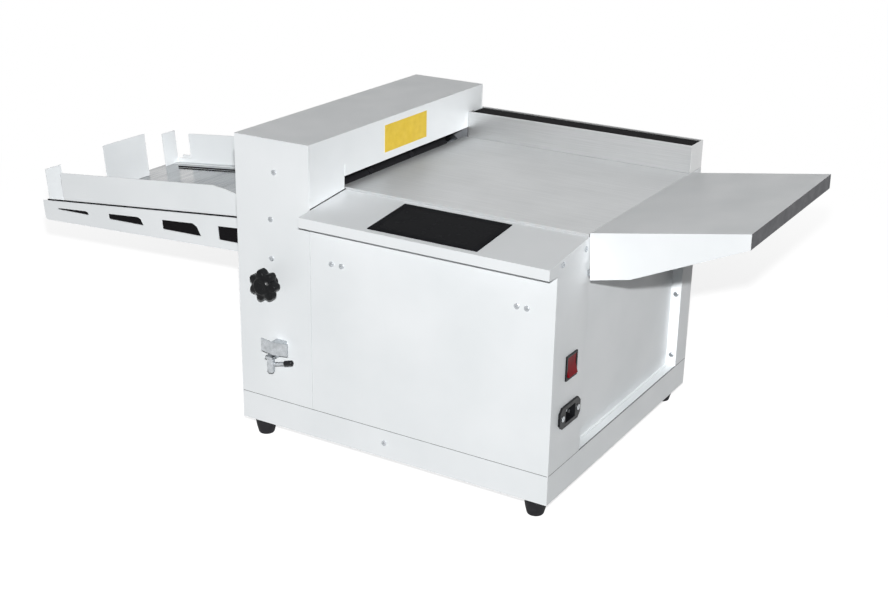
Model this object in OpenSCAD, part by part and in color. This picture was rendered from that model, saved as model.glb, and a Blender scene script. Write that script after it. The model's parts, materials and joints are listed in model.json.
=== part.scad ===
// Desktop paper creasing machine.
// A sheet goes in over the table on the right, between the feed rollers and under the creasing blade
// in the tower, and slides out on the delivery tray on the left.
// X runs along the paper path towards the infeed side, Y away from the operator and Z up.
// The origin is on the standing surface, below the middle of the whole machine.

/* [Body] */
// Length of the body along the paper path
body_w = 448; // [420:1:520]
// Depth of the body, from the operator's side to the back
body_d = 420; // [415:1:480]
// Height of the rubber feet
foot_h = 24; // [16:1:36]
// Diameter of a foot at its top
foot_d = 29; // [22:1:34]
// Diameter of a foot at the floor
foot_sole_d = 21; // [14:1:26]
// Distance from a foot's centre to the ends of the body
foot_inset_x = 23; // [18:1:50]
// Distance from a foot's centre to the front and the back
foot_inset_y = 18; // [17:1:50]
// Height of the plinth tray
plinth_h = 38; // [26:1:60]
// Thickness of the casing sheets
sheet = 1.5; // [1:0.1:2]
// Width of the flanges bent inwards on the plinth
ledge_w = 18; // [16:1:24]
// Visible gap between two neighbouring panels
seam = 0.6; // [0.3:0.1:1.2]

/* [Tower] */
// Width of the tower along the paper path
tower_w = 112; // [110:1:130]
// Height of the hood's top above the underside of the plinth
tower_h = 383; // [378:1:420]
// Height of the open gap between the table and the hood
gap_h = 14; // [12:1:18]
// Height of the exit opening in the tower's outer wall
exit_h = 24; // [18:1:24]
// Distance from the front to the relief slit in the hood's side
slit_y = 75; // [50:1:76]
// Height of the relief slit above the gap
slit_h = 15; // [6:1:30]
// Diameter of the hood's hinge barrel
hinge_d = 6; // [5:0.5:8]
// Number of knuckle pairs on the hood's hinge
hinge_pairs = 4; // [2:1:6]
// Width of the plain yellow plate on the hood
plate_w = 102; // [60:1:140]
// Height of that plate
plate_h = 36; // [20:1:44]
// Distance from the front to the plate
plate_y = 166; // [100:1:200]

/* [Control deck] */
// Overhang of the deck in front of the body
deck_overhang = 23; // [10:1:26]
// Height of the deck's front edge above the underside of the plinth
deck_front_h = 300; // [294:1:304]
// Height of the deck's front lip
deck_lip = 13; // [9:1:20]
// Height of the deck's side flange at the back
deck_side_h = 30; // [24:1:36]
// Width of the black touch panel
panel_w = 148; // [90:1:180]
// Depth of the touch panel along the slope
panel_d = 83; // [50:1:88]
// Distance from the touch panel to the infeed side
panel_x = 94; // [40:1:120]
// Height of the touch panel above the deck
panel_rise = 0.8; // [0.4:0.1:2]

/* [Feed table] */
// Height of the table above the underside of the plinth
table_h = 314; // [312:1:318]
// Distance from the front to the table's front edge
table_y = 76; // [76:1:84]
// Step from the deck up to the table
table_step = 3; // [1:0.5:4]
// Height of the table's turned down flange at the infeed side
table_flange = 46; // [30:1:60]
// Depth of the side fence channel
fence_d = 40; // [24:1:50]
// Height of the side fence above the table
fence_h = 37; // [20:1:44]
// Depth of the recess in the infeed side of the body
recess = 14; // [12:1:20]
// Width of the strip with the switch and the inlet
strip_w = 82; // [80:1:90]
// Width of the rear column
column_w = 36; // [24:1:50]

/* [Infeed extension] */
// Length of the extension along its own slope
ext_len = 191; // [120:1:240]
// Upward tilt of the extension
ext_tilt = 10.1; // [4:0.1:14]
// Height of its skirt at the root
ext_root_h = 56; // [46:1:64]
// Height of its skirt at the knee
ext_knee_h = 54; // [40:1:60]
// Distance from the root to the knee
ext_knee_x = 44; // [30:1:80]
// Height of its skirt at the end
ext_end_h = 18; // [12:1:30]
// How far the far side tapers in over the length
ext_taper = 21; // [0:1:40]
// Gap between the body and the extension
ext_gap = 1.2; // [1:0.1:3]
// Diameter of the extension's hinge barrels
ext_barrel_d = 5; // [4:0.5:6]

/* [Delivery tray] */
// Length that the tray reaches out from the body
tray_len = 427; // [330:1:500]
// Downward slope of the tray
tray_slope = 5.8; // [2:0.1:9]
// Distance from the front to the tray's front rail
tray_y = 80; // [60:1:90]
// Width of the tray over its rails
tray_w = 308; // [303:1:320]
// Height of the tray's top edge at the body, above the underside of the plinth
tray_h = 247; // [225:1:255]
// Height of the rails at the body
rail_root_h = 50; // [44:1:60]
// Height of the rails at the outer end
rail_end_h = 29; // [26:1:40]
// Depth of the bed below the top of the rails
bed_drop = 6.5; // [4:0.5:9]
// Number of windows in each rail
window_n = 4; // [2:1:4]
// Distance from one window to the next
window_pitch = 100; // [84:1:104]
// Length of a window along its top
window_w = 58; // [36:1:62]
// Distance from the body to the outer end of the first window
window_x = 102; // [96:1:106]
// Height of the side guides above the bed
guide_h = 48; // [30:1:60]
// Length of the side guides
guide_len = 367; // [240:1:370]
// Width of the tab at the end of a guide
tab_w = 30; // [16:1:40]
// Height that the tab stands above the guide
tab_rise = 4; // [0:1:10]
// Distance between the front rail and the front guide
guide_in = 3; // [2:1:20]
// Clear distance between the side guides
guide_gap = 277; // [240:1:280]
// Depth of a guide's foot on the bed
guide_foot = 10; // [6:1:16]
// Thickness of the guides and of the end stop
guide_t = 1.2; // [1:0.1:1.6]
// Width of the end stop
stop_w = 90; // [50:1:120]
// Height of the end stop
stop_h = 66; // [40:1:80]
// Distance from the body to the end stop
stop_x = 398; // [250:1:398]

/* [Creasing unit] */
// Thickness of the two side plates
frame_t = 8; // [6:1:8]
// Distance from the front to the front side plate
frame_y = 30; // [30:1:34]
// Distance from the back to the rear side plate
frame_back = 26; // [26:1:30]
// Diameter of the rubber rollers
roller_d = 26; // [22:1:26]
// Diameter of every shaft
shaft_d = 12; // [10:1:12]
// Radial clearance of a shaft in its bearing
shaft_fit = 0.05; // [0.02:0.01:0.1]
// Outer diameter of the bearings
bearing_d = 22; // [18:1:22]
// Distance between the feed shafts and the exit shafts
roller_span = 54; // [54:1:58]
// Room for the paper between two rollers
nip = 0.4; // [0.3:0.1:0.8]
// Stroke of the creasing beam
stroke = 4; // [2:0.5:5]
// Width of the creasing beam
beam_w = 16; // [12:1:18]
// Number of teeth on each roller gear
roller_teeth = 24; // [20:4:28]
// Module of the crank gears
crank_module = 1.25; // [1.2:0.05:1.25]
// Number of teeth on the crank gear
crank_teeth = 48; // [48:4:52]
// Number of teeth on the crank pinion
pinion_teeth = 16; // [16:2:18]

/* [Controls] */
// Diameter of the star knob
knob_d = 42; // [34:1:46]
// Number of lobes on the star knob
knob_lobes = 7; // [5:1:9]
// Distance that the star knob stands out from the front
knob_reach = 30; // [27:1:36]
// Height of the star knob above the underside of the plinth
knob_h = 202; // [190:1:210]
// Height of the clamp lever's pivot above the underside of the plinth
lever_h = 94; // [75:1:110]
// Length of the clamp lever
lever_len = 35; // [26:1:44]
// Width of the rocker switch along the strip
switch_w = 28; // [20:1:32]
// Height of the rocker switch
switch_h = 31; // [26:1:36]
// Height of the switch's centre above the underside of the plinth
switch_z = 163; // [140:1:200]
// Width of the mains inlet's flange
inlet_w = 53; // [48:1:56]
// Height of the mains inlet's flange
inlet_h = 27; // [24:1:32]
// Height of the inlet's centre above the underside of the plinth
inlet_z = 103; // [80:1:120]
// Distance from the front to the centre of the switch and of the inlet
socket_y = 46; // [40:1:50]

/* [Hidden] */
$fn = 48;

// Colours of the finishes
white_paint = [0.93, 0.94, 0.95];
brushed_steel = [0.74, 0.75, 0.76];
bright_steel = [0.82, 0.83, 0.85];
black_plastic = [0.09, 0.09, 0.10];
black_rubber = [0.12, 0.12, 0.12];
cast_grey = [0.45, 0.46, 0.48];
switch_red = [0.62, 0.06, 0.10];
sign_yellow = [0.92, 0.78, 0.25];
board_green = [0.10, 0.36, 0.22];

// Outline of the whole machine
head_h = 1.4;                   // height of a screw head
ext_lip = 3;                    // how far the end of the extension leans in
ext_reach = ext_gap + ext_len * cos(ext_tilt)
    + max(sheet * sin(ext_tilt), ext_end_h * sin(ext_tilt) - ext_lip * cos(ext_tilt));
total_w = tray_len + body_w + ext_reach;
x_right = total_w / 2 - ext_reach;
x_left = x_right - body_w;
x_tower = x_left + tower_w;
y_front = (knob_reach - body_d - head_h) / 2;
y_back = y_front + body_d;
x_mid = (x_left + x_right) / 2;
y_mid = (y_front + y_back) / 2;
z_plinth = foot_h + plinth_h;
z_table = foot_h + table_h;
z_gap = z_table + gap_h;
z_hood = foot_h + tower_h;

// Control deck
z_deck = foot_h + deck_front_h;
z_deck_back = z_table - table_step;
panel_room = 0.2;
deck_slope = atan((z_deck_back - z_deck) / (table_y + deck_overhang));
function deck_z(y) = z_deck + (y + deck_overhang) * tan(deck_slope);    // y counts from the front

// Frame under the table
post = 20;
post_y = [y_front + table_y + 4, y_back - ledge_w - post - 2];
post_x = [x_tower + 8, x_right - recess - sheet - 4 - post];

// Tower
hinge_gap = 0.5;
hinge_x = x_left + hinge_d / 2;
hinge_z = z_gap + 10;           // low enough for the hood's right side to swing clear of the fence
pin_d = 3;
z_exit = z_table - 10;
knuckle = (body_d - 2 * sheet) / (2 * hinge_pairs);
knuckle_gap = 0.4;
// The top outer corner leaves room for the hood's plate as it swings
tower_outline = [
    [x_left, z_plinth], [x_tower, z_plinth], [x_tower, z_hood - sheet], [hinge_x, z_hood - sheet],
    [x_left, z_hood - sheet - 0.5]];

// Creasing unit
feed_x = x_left + tower_w / 2 + roller_span / 2 - 1;
exit_x = feed_x - roller_span;
crease_x = feed_x - roller_span / 2;
z_lower = z_table + 0.2 - roller_d / 2;
z_upper = z_lower + roller_d + nip;
crank_drop = 44;
z_crank = z_table - crank_drop;
y_frame = y_front + frame_y;                    // outer face of the front side plate
y_inside = y_frame + frame_t;
y_frame_rear = y_back - frame_back;             // outer face of the rear side plate
y_inside_rear = y_frame_rear - frame_t;
arm_t = 10;                                     // thickness of the beam's arms
arm_gap = 2;
arm_y = [y_inside + arm_gap, y_inside_rear - arm_gap - arm_t];
blade_t = 2;
blade_out = 8;                                  // how far the blade stands out of the beam
paper_room = 0.6;
z_blade = z_table + stroke + paper_room;        // tip of the blade at rest
z_beam = z_blade + blade_out;
beam_h = 26;
eccentric_r = 9;
yoke_gap = 0.5;
yoke_w = 2 * (eccentric_r + stroke / 2 + yoke_gap);
yoke_wall = 4;
anvil_wall = 4.5;
gear_w = 8;
shaft_turn = shaft_d / 2 + shaft_fit;           // radius of a running bore
pinion_x = crease_x + crank_module * (crank_teeth + pinion_teeth) / 2 * cos(45);
pinion_z = z_crank - crank_module * (crank_teeth + pinion_teeth) / 2 * sin(45);
crank_phase = -45 * crank_teeth / 360;          // teeth of the crank gear between its mark and the pinion
pinion_turn = 135 + (0.5 + crank_phase - floor(crank_phase)) * 360 / pinion_teeth;
pulley_r = 10;
belt_t = 1.8;
belt_w = 7;
belt_gap = 0.05;
motor_x = feed_x;
motor_z = foot_h + 172;
front_drive_y = y_front + 8;                    // front face of the motor belt
rear_gear_y = y_frame_rear + 2;
rear_pulley_y = rear_gear_y + gear_w + 2;

// Infeed extension
ext_rise = 1.4;
ext_y = table_y;
ext_w = body_d - fence_d - table_y;
ext_axis_x = 9;
ext_axis_z = 0.3 - sheet - ext_barrel_d / 2;
ext_z = z_table + ext_rise;
ext_clear = 3.4;                                // room between the skirt's foot and the body
ext_hinge_y = [ext_y + 34, ext_y + ext_w - 44];
ext_knuckle = 18;
ext_leg = 13;                                   // how far the brackets reach below the hinge axis
ext_flange = 7;                                 // flanges at the skirt's root that lean on the body
ext_flange_parts = [0.55, 0.97];                // the part of the skirt's height that they take
ext_inset = 0.3;                                // how far they stand inside the skirt's edges
ext_foot_x = ext_clear - ext_root_h * tan(ext_tilt);
function ext_edge(part) = part * ext_foot_x;    // root edge of the skirt at a part of its height
function ext_far(x) = ext_y + ext_w - ext_taper * x / ext_len;      // far side of the plate
ext_skirt = [
    [0, 0], [ext_len, 0], [ext_len - ext_lip, -ext_end_h], [ext_knee_x, -ext_knee_h],
    [ext_foot_x, -ext_root_h]];

// Delivery tray
z_tray = foot_h + tray_h;
rail_len = tray_len / cos(tray_slope);
pivot_in = 8;                                   // the tray's pivots, from its inner top corner
tray_pin_d = 5;
rail_y = [y_front + tray_y, y_front + tray_y + tray_w - sheet];
guide_y = y_front + tray_y + sheet + guide_in;
guide_root = -52;
tab_x = guide_root - guide_len;
slide_gap = 0.2;

// Controls
knob_x = x_left + tower_w / 2;
knob_z = foot_h + knob_h;
knob_t = 16;
stem_d = 10;
lever_x = x_left + 60;
lever_y = y_front - 16;
lever_z = foot_h + lever_h;
boss_d = 10;
boss_h = 17;
lever_pin_d = 5;
lever_rise = 16;
grip_len = 12;
grip_d = 7;
switch_y = y_front + socket_y;
switch_mid = foot_h + switch_z;
inlet_mid = foot_h + inlet_z;
bezel_wall = 2.5;
rocker_tilt = 7;

// Screws, as [x, z] or [y, z] on their face
screw_d = 3.5;
screw_head = 7;
screw_len = 6;
tower_screws = [[x_left + 60, z_hood - 41], [x_left + 53, z_deck - 19], [x_left + 53, knob_z + 28]];
cover_screws = [for (x = [x_tower + 32, x_tower + 47, x_right - 49, x_right - 36]) [x, z_deck - 59.5]];
plinth_screw = [x_mid - 3, z_plinth - plinth_h / 2 + 1];
deck_screws = [[y_front + 9.5, deck_z(9.5) - 6.6], [y_front + 67, deck_z(67) - 11]];
column_screws = [for (z = [105, 16]) [x_right - recess / 2, z_plinth + z]];
rear_screws = concat(
    [for (x = [x_left + 12, x_mid, x_right - 12], z = [z_plinth + 12, z_table - 24]) [x, z]],
    [for (x = [x_left + 12, x_tower - 12]) [x, z_hood - 24]]);
left_screws = [for (y = [y_front + 12, y_back - 12], z = [z_plinth + 12, z_exit - 90]) [y, z]];
inlet_screws = [for (side = [-1, 1]) [switch_y + side * 20, inlet_mid]];

// A box between two corners
module block(lo, hi) {
    translate(lo) cube(hi - lo);
}

// A round bar along Y
module bar_y(x, z, y0, y1, d) {
    translate([x, y0, z]) rotate([-90, 0, 0]) cylinder(d = d, h = y1 - y0);
}

// A prism along Y with an outline of [x, z] points
module prism_y(y0, y1, points) {
    translate([0, y1, 0]) rotate([90, 0, 0]) linear_extrude(y1 - y0) polygon(points);
}

// A prism along X with an outline of [y, z] points
module prism_x(x0, x1, points) {
    translate([x0, 0, 0]) rotate([90, 0, 90]) linear_extrude(x1 - x0) polygon(points);
}

// A pan head screw that goes in along -Z of the turned frame
module screw(at, turn) {
    translate(at) rotate(turn) {
        difference() {
            union() {
                cylinder(d = screw_head, h = head_h - 0.5);
                translate([0, 0, head_h - 0.5]) cylinder(d1 = screw_head, d2 = screw_head - 2, h = 0.5);
            }
            translate([-screw_head / 4, -0.4, head_h - 0.6]) cube([screw_head / 2, 0.8, 1]);
            translate([-0.4, -screw_head / 4, head_h - 0.6]) cube([0.8, screw_head / 2, 1]);
        }
        translate([0, 0, -screw_len]) cylinder(d = screw_d, h = screw_len + 0.1);
    }
}

// The hole for such a screw
module screw_hole(at, turn) {
    translate(at) rotate(turn) translate([0, 0, -screw_len - 1]) cylinder(d = screw_d + 0.4, h = screw_len + 2);
}

facing_front = [90, 0, 0];
facing_back = [-90, 0, 0];
facing_infeed = [0, 90, 0];
facing_exit = [0, -90, 0];

// Outline of a spur gear
function gear_outline(n, m) = [
    for (i = [0 : n - 1], k = [[-0.29, -1.05], [-0.13, 0.75], [0.13, 0.75], [0.29, -1.05]])
        let (a = 360 / n * (i + k[0]), r = m * (n / 2 + k[1])) [r * cos(a), r * sin(a)]];

// A spur gear along Y, turned by the angle
module gear_y(x, z, y0, n, m, angle = 0) {
    translate([x, y0 + gear_w, z]) rotate([90, 0, 0]) rotate([0, 0, angle])
        linear_extrude(gear_w) polygon(gear_outline(n, m));
}

// A flat loop of belt in the XZ plane between two equal pulleys, the second one at [dx, dz]
module belt_y(x, z, y0, dx, dz) {
    span = norm([dx, dz]);
    inner = pulley_r + belt_gap;
    translate([x, y0 + belt_w, z]) rotate([90, 0, 0]) rotate([0, 0, atan2(dz, dx)]) linear_extrude(belt_w)
        difference() {
            union() {
                circle(r = inner + belt_t);
                translate([span, 0]) circle(r = inner + belt_t);
                translate([0, -inner - belt_t]) square([span, 2 * (inner + belt_t)]);
            }
            circle(r = inner);
            translate([span, 0]) circle(r = inner);
            translate([0, -inner]) square([span, 2 * inner]);
        }
}

// A belt pulley with two flanges along Y
module pulley_y(x, z, y0) {
    flange = 1;
    bar_y(x, z, y0 - flange - 0.3, y0 - 0.3, 2 * pulley_r + 3);
    bar_y(x, z, y0 - 0.4, y0 + belt_w + 0.4, 2 * pulley_r);
    bar_y(x, z, y0 + belt_w + 0.3, y0 + belt_w + 0.3 + flange, 2 * pulley_r + 3);
}

module on_extension() {
    translate([x_right + ext_gap, y_front, ext_z]) rotate([0, -ext_tilt, 0]) children();
}

module on_tray() {
    translate([x_left, 0, z_tray]) rotate([0, -tray_slope, 0]) children();
}

module on_deck() {
    translate([0, y_front - deck_overhang, z_deck]) rotate([deck_slope, 0, 0]) children();
}

// ---- Casing ----

module base_tray() {
    color(white_paint) difference() {
        block([x_left, y_front, foot_h], [x_right, y_back, z_plinth]);
        block([x_left + sheet, y_front + sheet, foot_h + sheet],
            [x_right - sheet, y_back - sheet, z_plinth - sheet]);
        block([x_left + ledge_w, y_front + ledge_w, foot_h + sheet],
            [x_right - ledge_w, y_back - ledge_w, z_plinth + 1]);
        screw_hole([plinth_screw[0], y_front, plinth_screw[1]], facing_front);
    }
}

module feet() {
    color(black_rubber)
        for (x = [x_left + foot_inset_x, x_right - foot_inset_x], y = [y_front + foot_inset_y, y_back - foot_inset_y])
            translate([x, y, 0]) {
                cylinder(d1 = foot_sole_d, d2 = foot_d, h = foot_h - 4);
                translate([0, 0, foot_h - 4]) cylinder(d = foot_d, h = 4);
            }
}

module front_cover() {
    x0 = x_tower + seam;
    top = z_deck - 2;
    flange = 12;
    color(white_paint) difference() {
        union() {
            block([x0, y_front, z_plinth], [x_right, y_front + sheet, top]);
            block([x0, y_front, z_plinth], [x_right - sheet, y_front + flange, z_plinth + sheet]);
            block([x0, y_front, top - sheet], [x_right - 8, y_front + flange, top]);
        }
        for (p = cover_screws) screw_hole([p[0], y_front, p[1]], facing_front);
    }
}

module tower_front_cover() {
    flange = 10;
    color(white_paint) difference() {
        union() {
            prism_y(y_front, y_front + sheet, tower_outline);
            block([x_left + sheet, y_front, z_plinth], [x_left + 2 * sheet, y_front + flange, z_exit]);
            block([x_tower - 3 * sheet, y_front, z_plinth], [x_tower - 2 * sheet, y_front + flange, z_deck - 20]);
        }
        for (p = tower_screws) screw_hole([p[0], y_front, p[1]], facing_front);
        bar_y(knob_x, knob_z, y_front - 1, y_front + sheet + 1, stem_d + 2);
    }
}

module side_strip() {
    y0 = y_front + sheet;
    y1 = y_front + strip_w;
    top = deck_z(table_y) - sheet - 0.3;
    color(white_paint) difference() {
        union() {
            prism_x(x_right - sheet, x_right, [
                [y0, z_plinth], [y1, z_plinth], [y1, top], [y_front + table_y, top], [y0, deck_z(sheet) - sheet - 0.3]]);
            block([x_right - recess, y1 - sheet, z_plinth], [x_right, y1, top]);
        }
        block([x_right - 2 * sheet, switch_y - switch_w / 2 + 2, switch_mid - switch_h / 2 + 2],
            [x_right + 1, switch_y + switch_w / 2 - 2, switch_mid + switch_h / 2 - 2]);
        block([x_right - 2 * sheet, switch_y - 15, inlet_mid - 11], [x_right + 1, switch_y + 15, inlet_mid + 11]);
        for (p = deck_screws) screw_hole([x_right, p[0], p[1]], facing_infeed);
        for (p = inlet_screws) screw_hole([x_right, p[0], p[1]], facing_infeed);
    }
}

module recess_panel() {
    y0 = y_front + strip_w;
    y1 = y_back - column_w;
    flange = 3;
    color(white_paint) {
        block([x_right - recess - sheet, y0 - sheet, z_plinth], [x_right - recess, y1 + sheet, z_table - sheet]);
        block([x_right - recess - sheet, y0, z_plinth], [x_right - recess + flange, y1, z_plinth + sheet]);
    }
}

module rear_column() {
    y0 = y_back - column_w;
    color(white_paint) difference() {
        union() {
            block([x_right - recess, y0, z_plinth], [x_right, y0 + sheet, z_table - sheet]);
            block([x_right - sheet, y0, z_plinth], [x_right, y_back - sheet, z_table - sheet]);
        }
        for (p = column_screws) screw_hole([p[0], y0, p[1]], facing_front);
    }
}

module rear_cover() {
    louvres = 7;
    color(white_paint) difference() {
        union() {
            block([x_left, y_back - sheet, z_plinth], [x_right, y_back, z_table - sheet]);
            prism_y(y_back - sheet, y_back, tower_outline);
        }
        for (i = [0 : louvres - 1])
            translate([x_mid - 60, y_back - 2 * sheet, z_plinth + 50 + i * 12]) cube([120, 3 * sheet, 5]);
        for (p = rear_screws) screw_hole([p[0], y_back, p[1]], facing_back);
    }
}

module left_cover() {
    color(white_paint) difference() {
        block([x_left, y_front + sheet, z_plinth], [x_left + sheet, y_back - sheet, z_exit]);
        for (p = left_screws) screw_hole([x_left, p[0], p[1]], facing_exit);
    }
}

// Every second knuckle of the hood's hinge, each with a tab that the caller draws along its length
module knuckles(first, bore) {
    for (i = [first : 2 : 2 * hinge_pairs - 1])
        difference() {
            union() {
                translate([0, y_front + sheet + i * knuckle + knuckle_gap / 2, 0]) {
                    bar_y(hinge_x, hinge_z, 0, knuckle - knuckle_gap, hinge_d);
                    children();
                }
            }
            bar_y(hinge_x, hinge_z, y_front, y_back, bore);
        }
}

module exit_cover() {
    top = hinge_z - hinge_d / 2 - hinge_gap;
    color(white_paint) {
        block([x_left, y_front + sheet, z_exit + exit_h], [x_left + sheet, y_back - sheet, top]);
        knuckles(0, pin_d) block([x_left, 0, top - 1], [x_left + sheet, knuckle - knuckle_gap, hinge_z]);
    }
}

module hood() {
    y0 = y_front + sheet + seam;
    y1 = y_back - sheet - seam;
    slit_w = 1.2;
    deck_room = 1;
    foot = hinge_z + hinge_d / 2 + hinge_gap;
    side = [
        [y0, deck_z(sheet + seam) + deck_room], [y_front + slit_y, deck_z(slit_y) + deck_room],
        [y_front + slit_y, z_gap + slit_h], [y_front + slit_y + slit_w, z_gap + slit_h],
        [y_front + slit_y + slit_w, z_gap], [y1, z_gap], [y1, z_hood - sheet / 2], [y0, z_hood - sheet / 2]];
    color(white_paint) {
        block([x_left, y_front, z_hood - sheet], [x_tower, y_back, z_hood]);
        prism_x(x_tower - sheet, x_tower, side);
        block([x_left, y0, foot], [x_left + sheet, y1, z_hood - sheet / 2]);
        knuckles(1, pin_d + 2 * shaft_fit)
            block([x_left, 0, hinge_z], [x_left + sheet, knuckle - knuckle_gap, foot + 1]);
    }
}

module hinge_pins() {
    color(bright_steel) {
        bar_y(hinge_x, hinge_z, y_front + sheet, y_back - sheet, pin_d);
        on_extension() for (y = ext_hinge_y) bar_y(ext_axis_x, ext_axis_z, y - 8.3, y + ext_knuckle + 8.3, pin_d);
    }
}

module yellow_plate() {
    plate_t = 0.4;
    color(sign_yellow)
        translate([x_tower, y_front + plate_y, z_hood - 9 - plate_h]) cube([plate_t, plate_w, plate_h]);
}

// ---- Control deck and feed table ----

module control_deck() {
    lip_z = z_deck - deck_lip;
    back_z = z_deck_back - deck_side_h;
    y0 = y_front - deck_overhang;
    y1 = y_front + table_y - 0.2;
    outer = [[y0, lip_z], [y0, z_deck], [y1, z_deck_back], [y1, back_z]];
    inner = [
        [y0 + sheet, lip_z + sheet], [y0 + sheet, z_deck - sheet], [y1 + 1, z_deck_back - sheet], [y1 + 1, 0],
        [y_front, 0], [y_front, lip_z + sheet]];
    color(white_paint) difference() {
        prism_x(x_tower + seam, x_right + sheet, outer);
        prism_x(x_tower + seam - 1, x_right, inner);
        on_deck() translate([x_right - panel_x - panel_w - panel_room, 8, -panel_rise])
            cube([panel_w + 2 * panel_room, panel_d + 2 * panel_room, sheet]);
        for (p = deck_screws) screw_hole([x_right + sheet, p[0], p[1]], facing_infeed);
    }
}

module touch_panel() {
    color(black_plastic) on_deck() translate([x_right - panel_x - panel_w, 8 + panel_room, -panel_rise])
        cube([panel_w, panel_d, 2 * panel_rise]);
}

module feed_table() {
    x0 = x_tower - 6;
    y0 = y_front + table_y;
    drop = 26;
    color(brushed_steel) {
        block([x_tower + seam, y0, z_table - sheet], [x_right, y_back, z_table]);
        block([x0, y0, z_table - sheet], [x_tower + seam + 1, y_inside_rear - 4, z_table]);
        block([x0, y0, z_table - 5], [x0 + sheet, y_inside_rear - 4, z_table]);
        block([x_tower + seam, y0, z_table - drop], [x_right - sheet - 0.3, y0 + sheet, z_table]);
        block([x_right - recess, y0, z_table - 4], [x_right, y0 + sheet, z_table]);
        block([x_right - sheet, y_front + strip_w, z_table - table_flange], [x_right, y_back - column_w - seam, z_table]);
    }
}

module table_posts() {
    color(cast_grey) for (x = post_x, y = post_y)
        block([x, y, foot_h + sheet], [x + post, y + post, z_table - sheet - post]);
}

module table_beams() {
    color(cast_grey) for (y = post_y)
        block([post_x[0], y, z_table - sheet - post], [post_x[1] + post, y + post, z_table - sheet]);
}

module side_fence() {
    x0 = x_tower + seam;
    y0 = y_back - fence_d;
    color(brushed_steel) {
        block([x0, y0, z_table], [x_right, y_back, z_table + sheet]);
        block([x0, y0, z_table], [x_right, y0 + sheet, z_table + fence_h]);
        block([x0, y_back - sheet, z_table], [x_right, y_back, z_table + fence_h]);
        block([x_right - sheet, y0, z_table], [x_right, y_back, z_table + fence_h]);
        block([x0, y0, z_table], [x0 + sheet, y0 + 14, z_table + fence_h]);
    }
}

module fence_liner() {
    down = 2;
    color(black_plastic)
        block([x_tower + seam + sheet, y_back - fence_d + sheet, z_table + sheet],
            [x_right - sheet, y_back - sheet, z_table + fence_h - down]);
}

// ---- Infeed extension ----

// A prism along Y with an outline of [x, z] points, cut off at a distance inside the far side of the extension
module up_to_far_side(y0, inset, points) {
    margin = 40;
    intersection() {
        prism_y(y0, ext_y + ext_w + margin, points);
        translate([0, 0, -2 * ext_root_h]) linear_extrude(3 * ext_root_h) polygon([
            [-margin, 0], [ext_len + margin, 0], [ext_len + margin, ext_far(ext_len + margin) - inset],
            [-margin, ext_far(-margin) - inset]]);
    }
}

module infeed_extension() {
    knuckle_w = 8;
    margin = 20;
    lean = ext_lip * sheet / ext_end_h;
    inside = [
        [-margin, -sheet], [ext_len - sheet - lean, -sheet], [ext_len - sheet - ext_lip, -ext_end_h],
        [ext_len - sheet - ext_lip, -ext_root_h - margin], [-margin, -ext_root_h - margin]];
    color(white_paint) on_extension() {
        difference() {
            up_to_far_side(ext_y, 0, ext_skirt);
            up_to_far_side(ext_y + sheet, sheet, inside);
        }
        for (y = ext_hinge_y, y0 = [y - knuckle_w - 0.3, y + ext_knuckle + 0.3])
            difference() {
                union() {
                    bar_y(ext_axis_x, ext_axis_z, y0, y0 + knuckle_w, ext_barrel_d);
                    block([ext_axis_x - 1.5, y0, ext_axis_z + 1.7], [ext_axis_x + 1.5, y0 + knuckle_w, -0.5]);
                }
                bar_y(ext_axis_x, ext_axis_z, y0 - 1, y0 + knuckle_w + 1, pin_d + 2 * shaft_fit);
            }
        for (y = [ext_y + 0.5, ext_y + ext_w - ext_inset - ext_flange])
            prism_y(y, y + ext_flange, [for (p = [[0, 0], [1, 0], [1, sheet], [0, sheet]])
                let (part = ext_flange_parts[p[0]]) [ext_edge(part) + ext_inset + p[1], -part * ext_root_h]]);
    }
}

module extension_brackets() {
    axis_x = ext_gap + ext_axis_x * cos(ext_tilt) - ext_axis_z * sin(ext_tilt);
    axis_z = ext_z + ext_axis_x * sin(ext_tilt) + ext_axis_z * cos(ext_tilt);
    barrel = ext_barrel_d - 1;
    pad_part = 0.8;
    pad_z = ext_z + ext_edge(pad_part) * sin(ext_tilt) - pad_part * ext_root_h * cos(ext_tilt);
    pad_x = ext_gap + (ext_edge(pad_part) + ext_inset) * cos(ext_tilt) + pad_part * ext_root_h * sin(ext_tilt) - 0.05;
    color(bright_steel) {
        for (y = ext_hinge_y)
            difference() {
                translate([x_right, y_front + y, 0]) {
                    bar_y(axis_x, axis_z, 0, ext_knuckle, barrel);
                    block([axis_x - barrel / 2, 0, axis_z - ext_leg], [axis_x + barrel / 2, ext_knuckle, axis_z]);
                    block([0, 0, axis_z - ext_leg], [axis_x + barrel / 2, ext_knuckle, axis_z - ext_leg + 2]);
                    block([0, 0, z_table - table_flange + 6], [1.5, ext_knuckle, axis_z - ext_leg + 2]);
                }
                bar_y(x_right + axis_x, axis_z, y_front, y_back, pin_d);
            }
        // Pads that stop the skirt
        for (y = [ext_y + 1.5, ext_y + ext_w - 6.5])
            block([x_right, y_front + y, pad_z - 7], [x_right + pad_x, y_front + y + 5, pad_z]);
    }
}

// ---- Creasing unit ----

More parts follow.
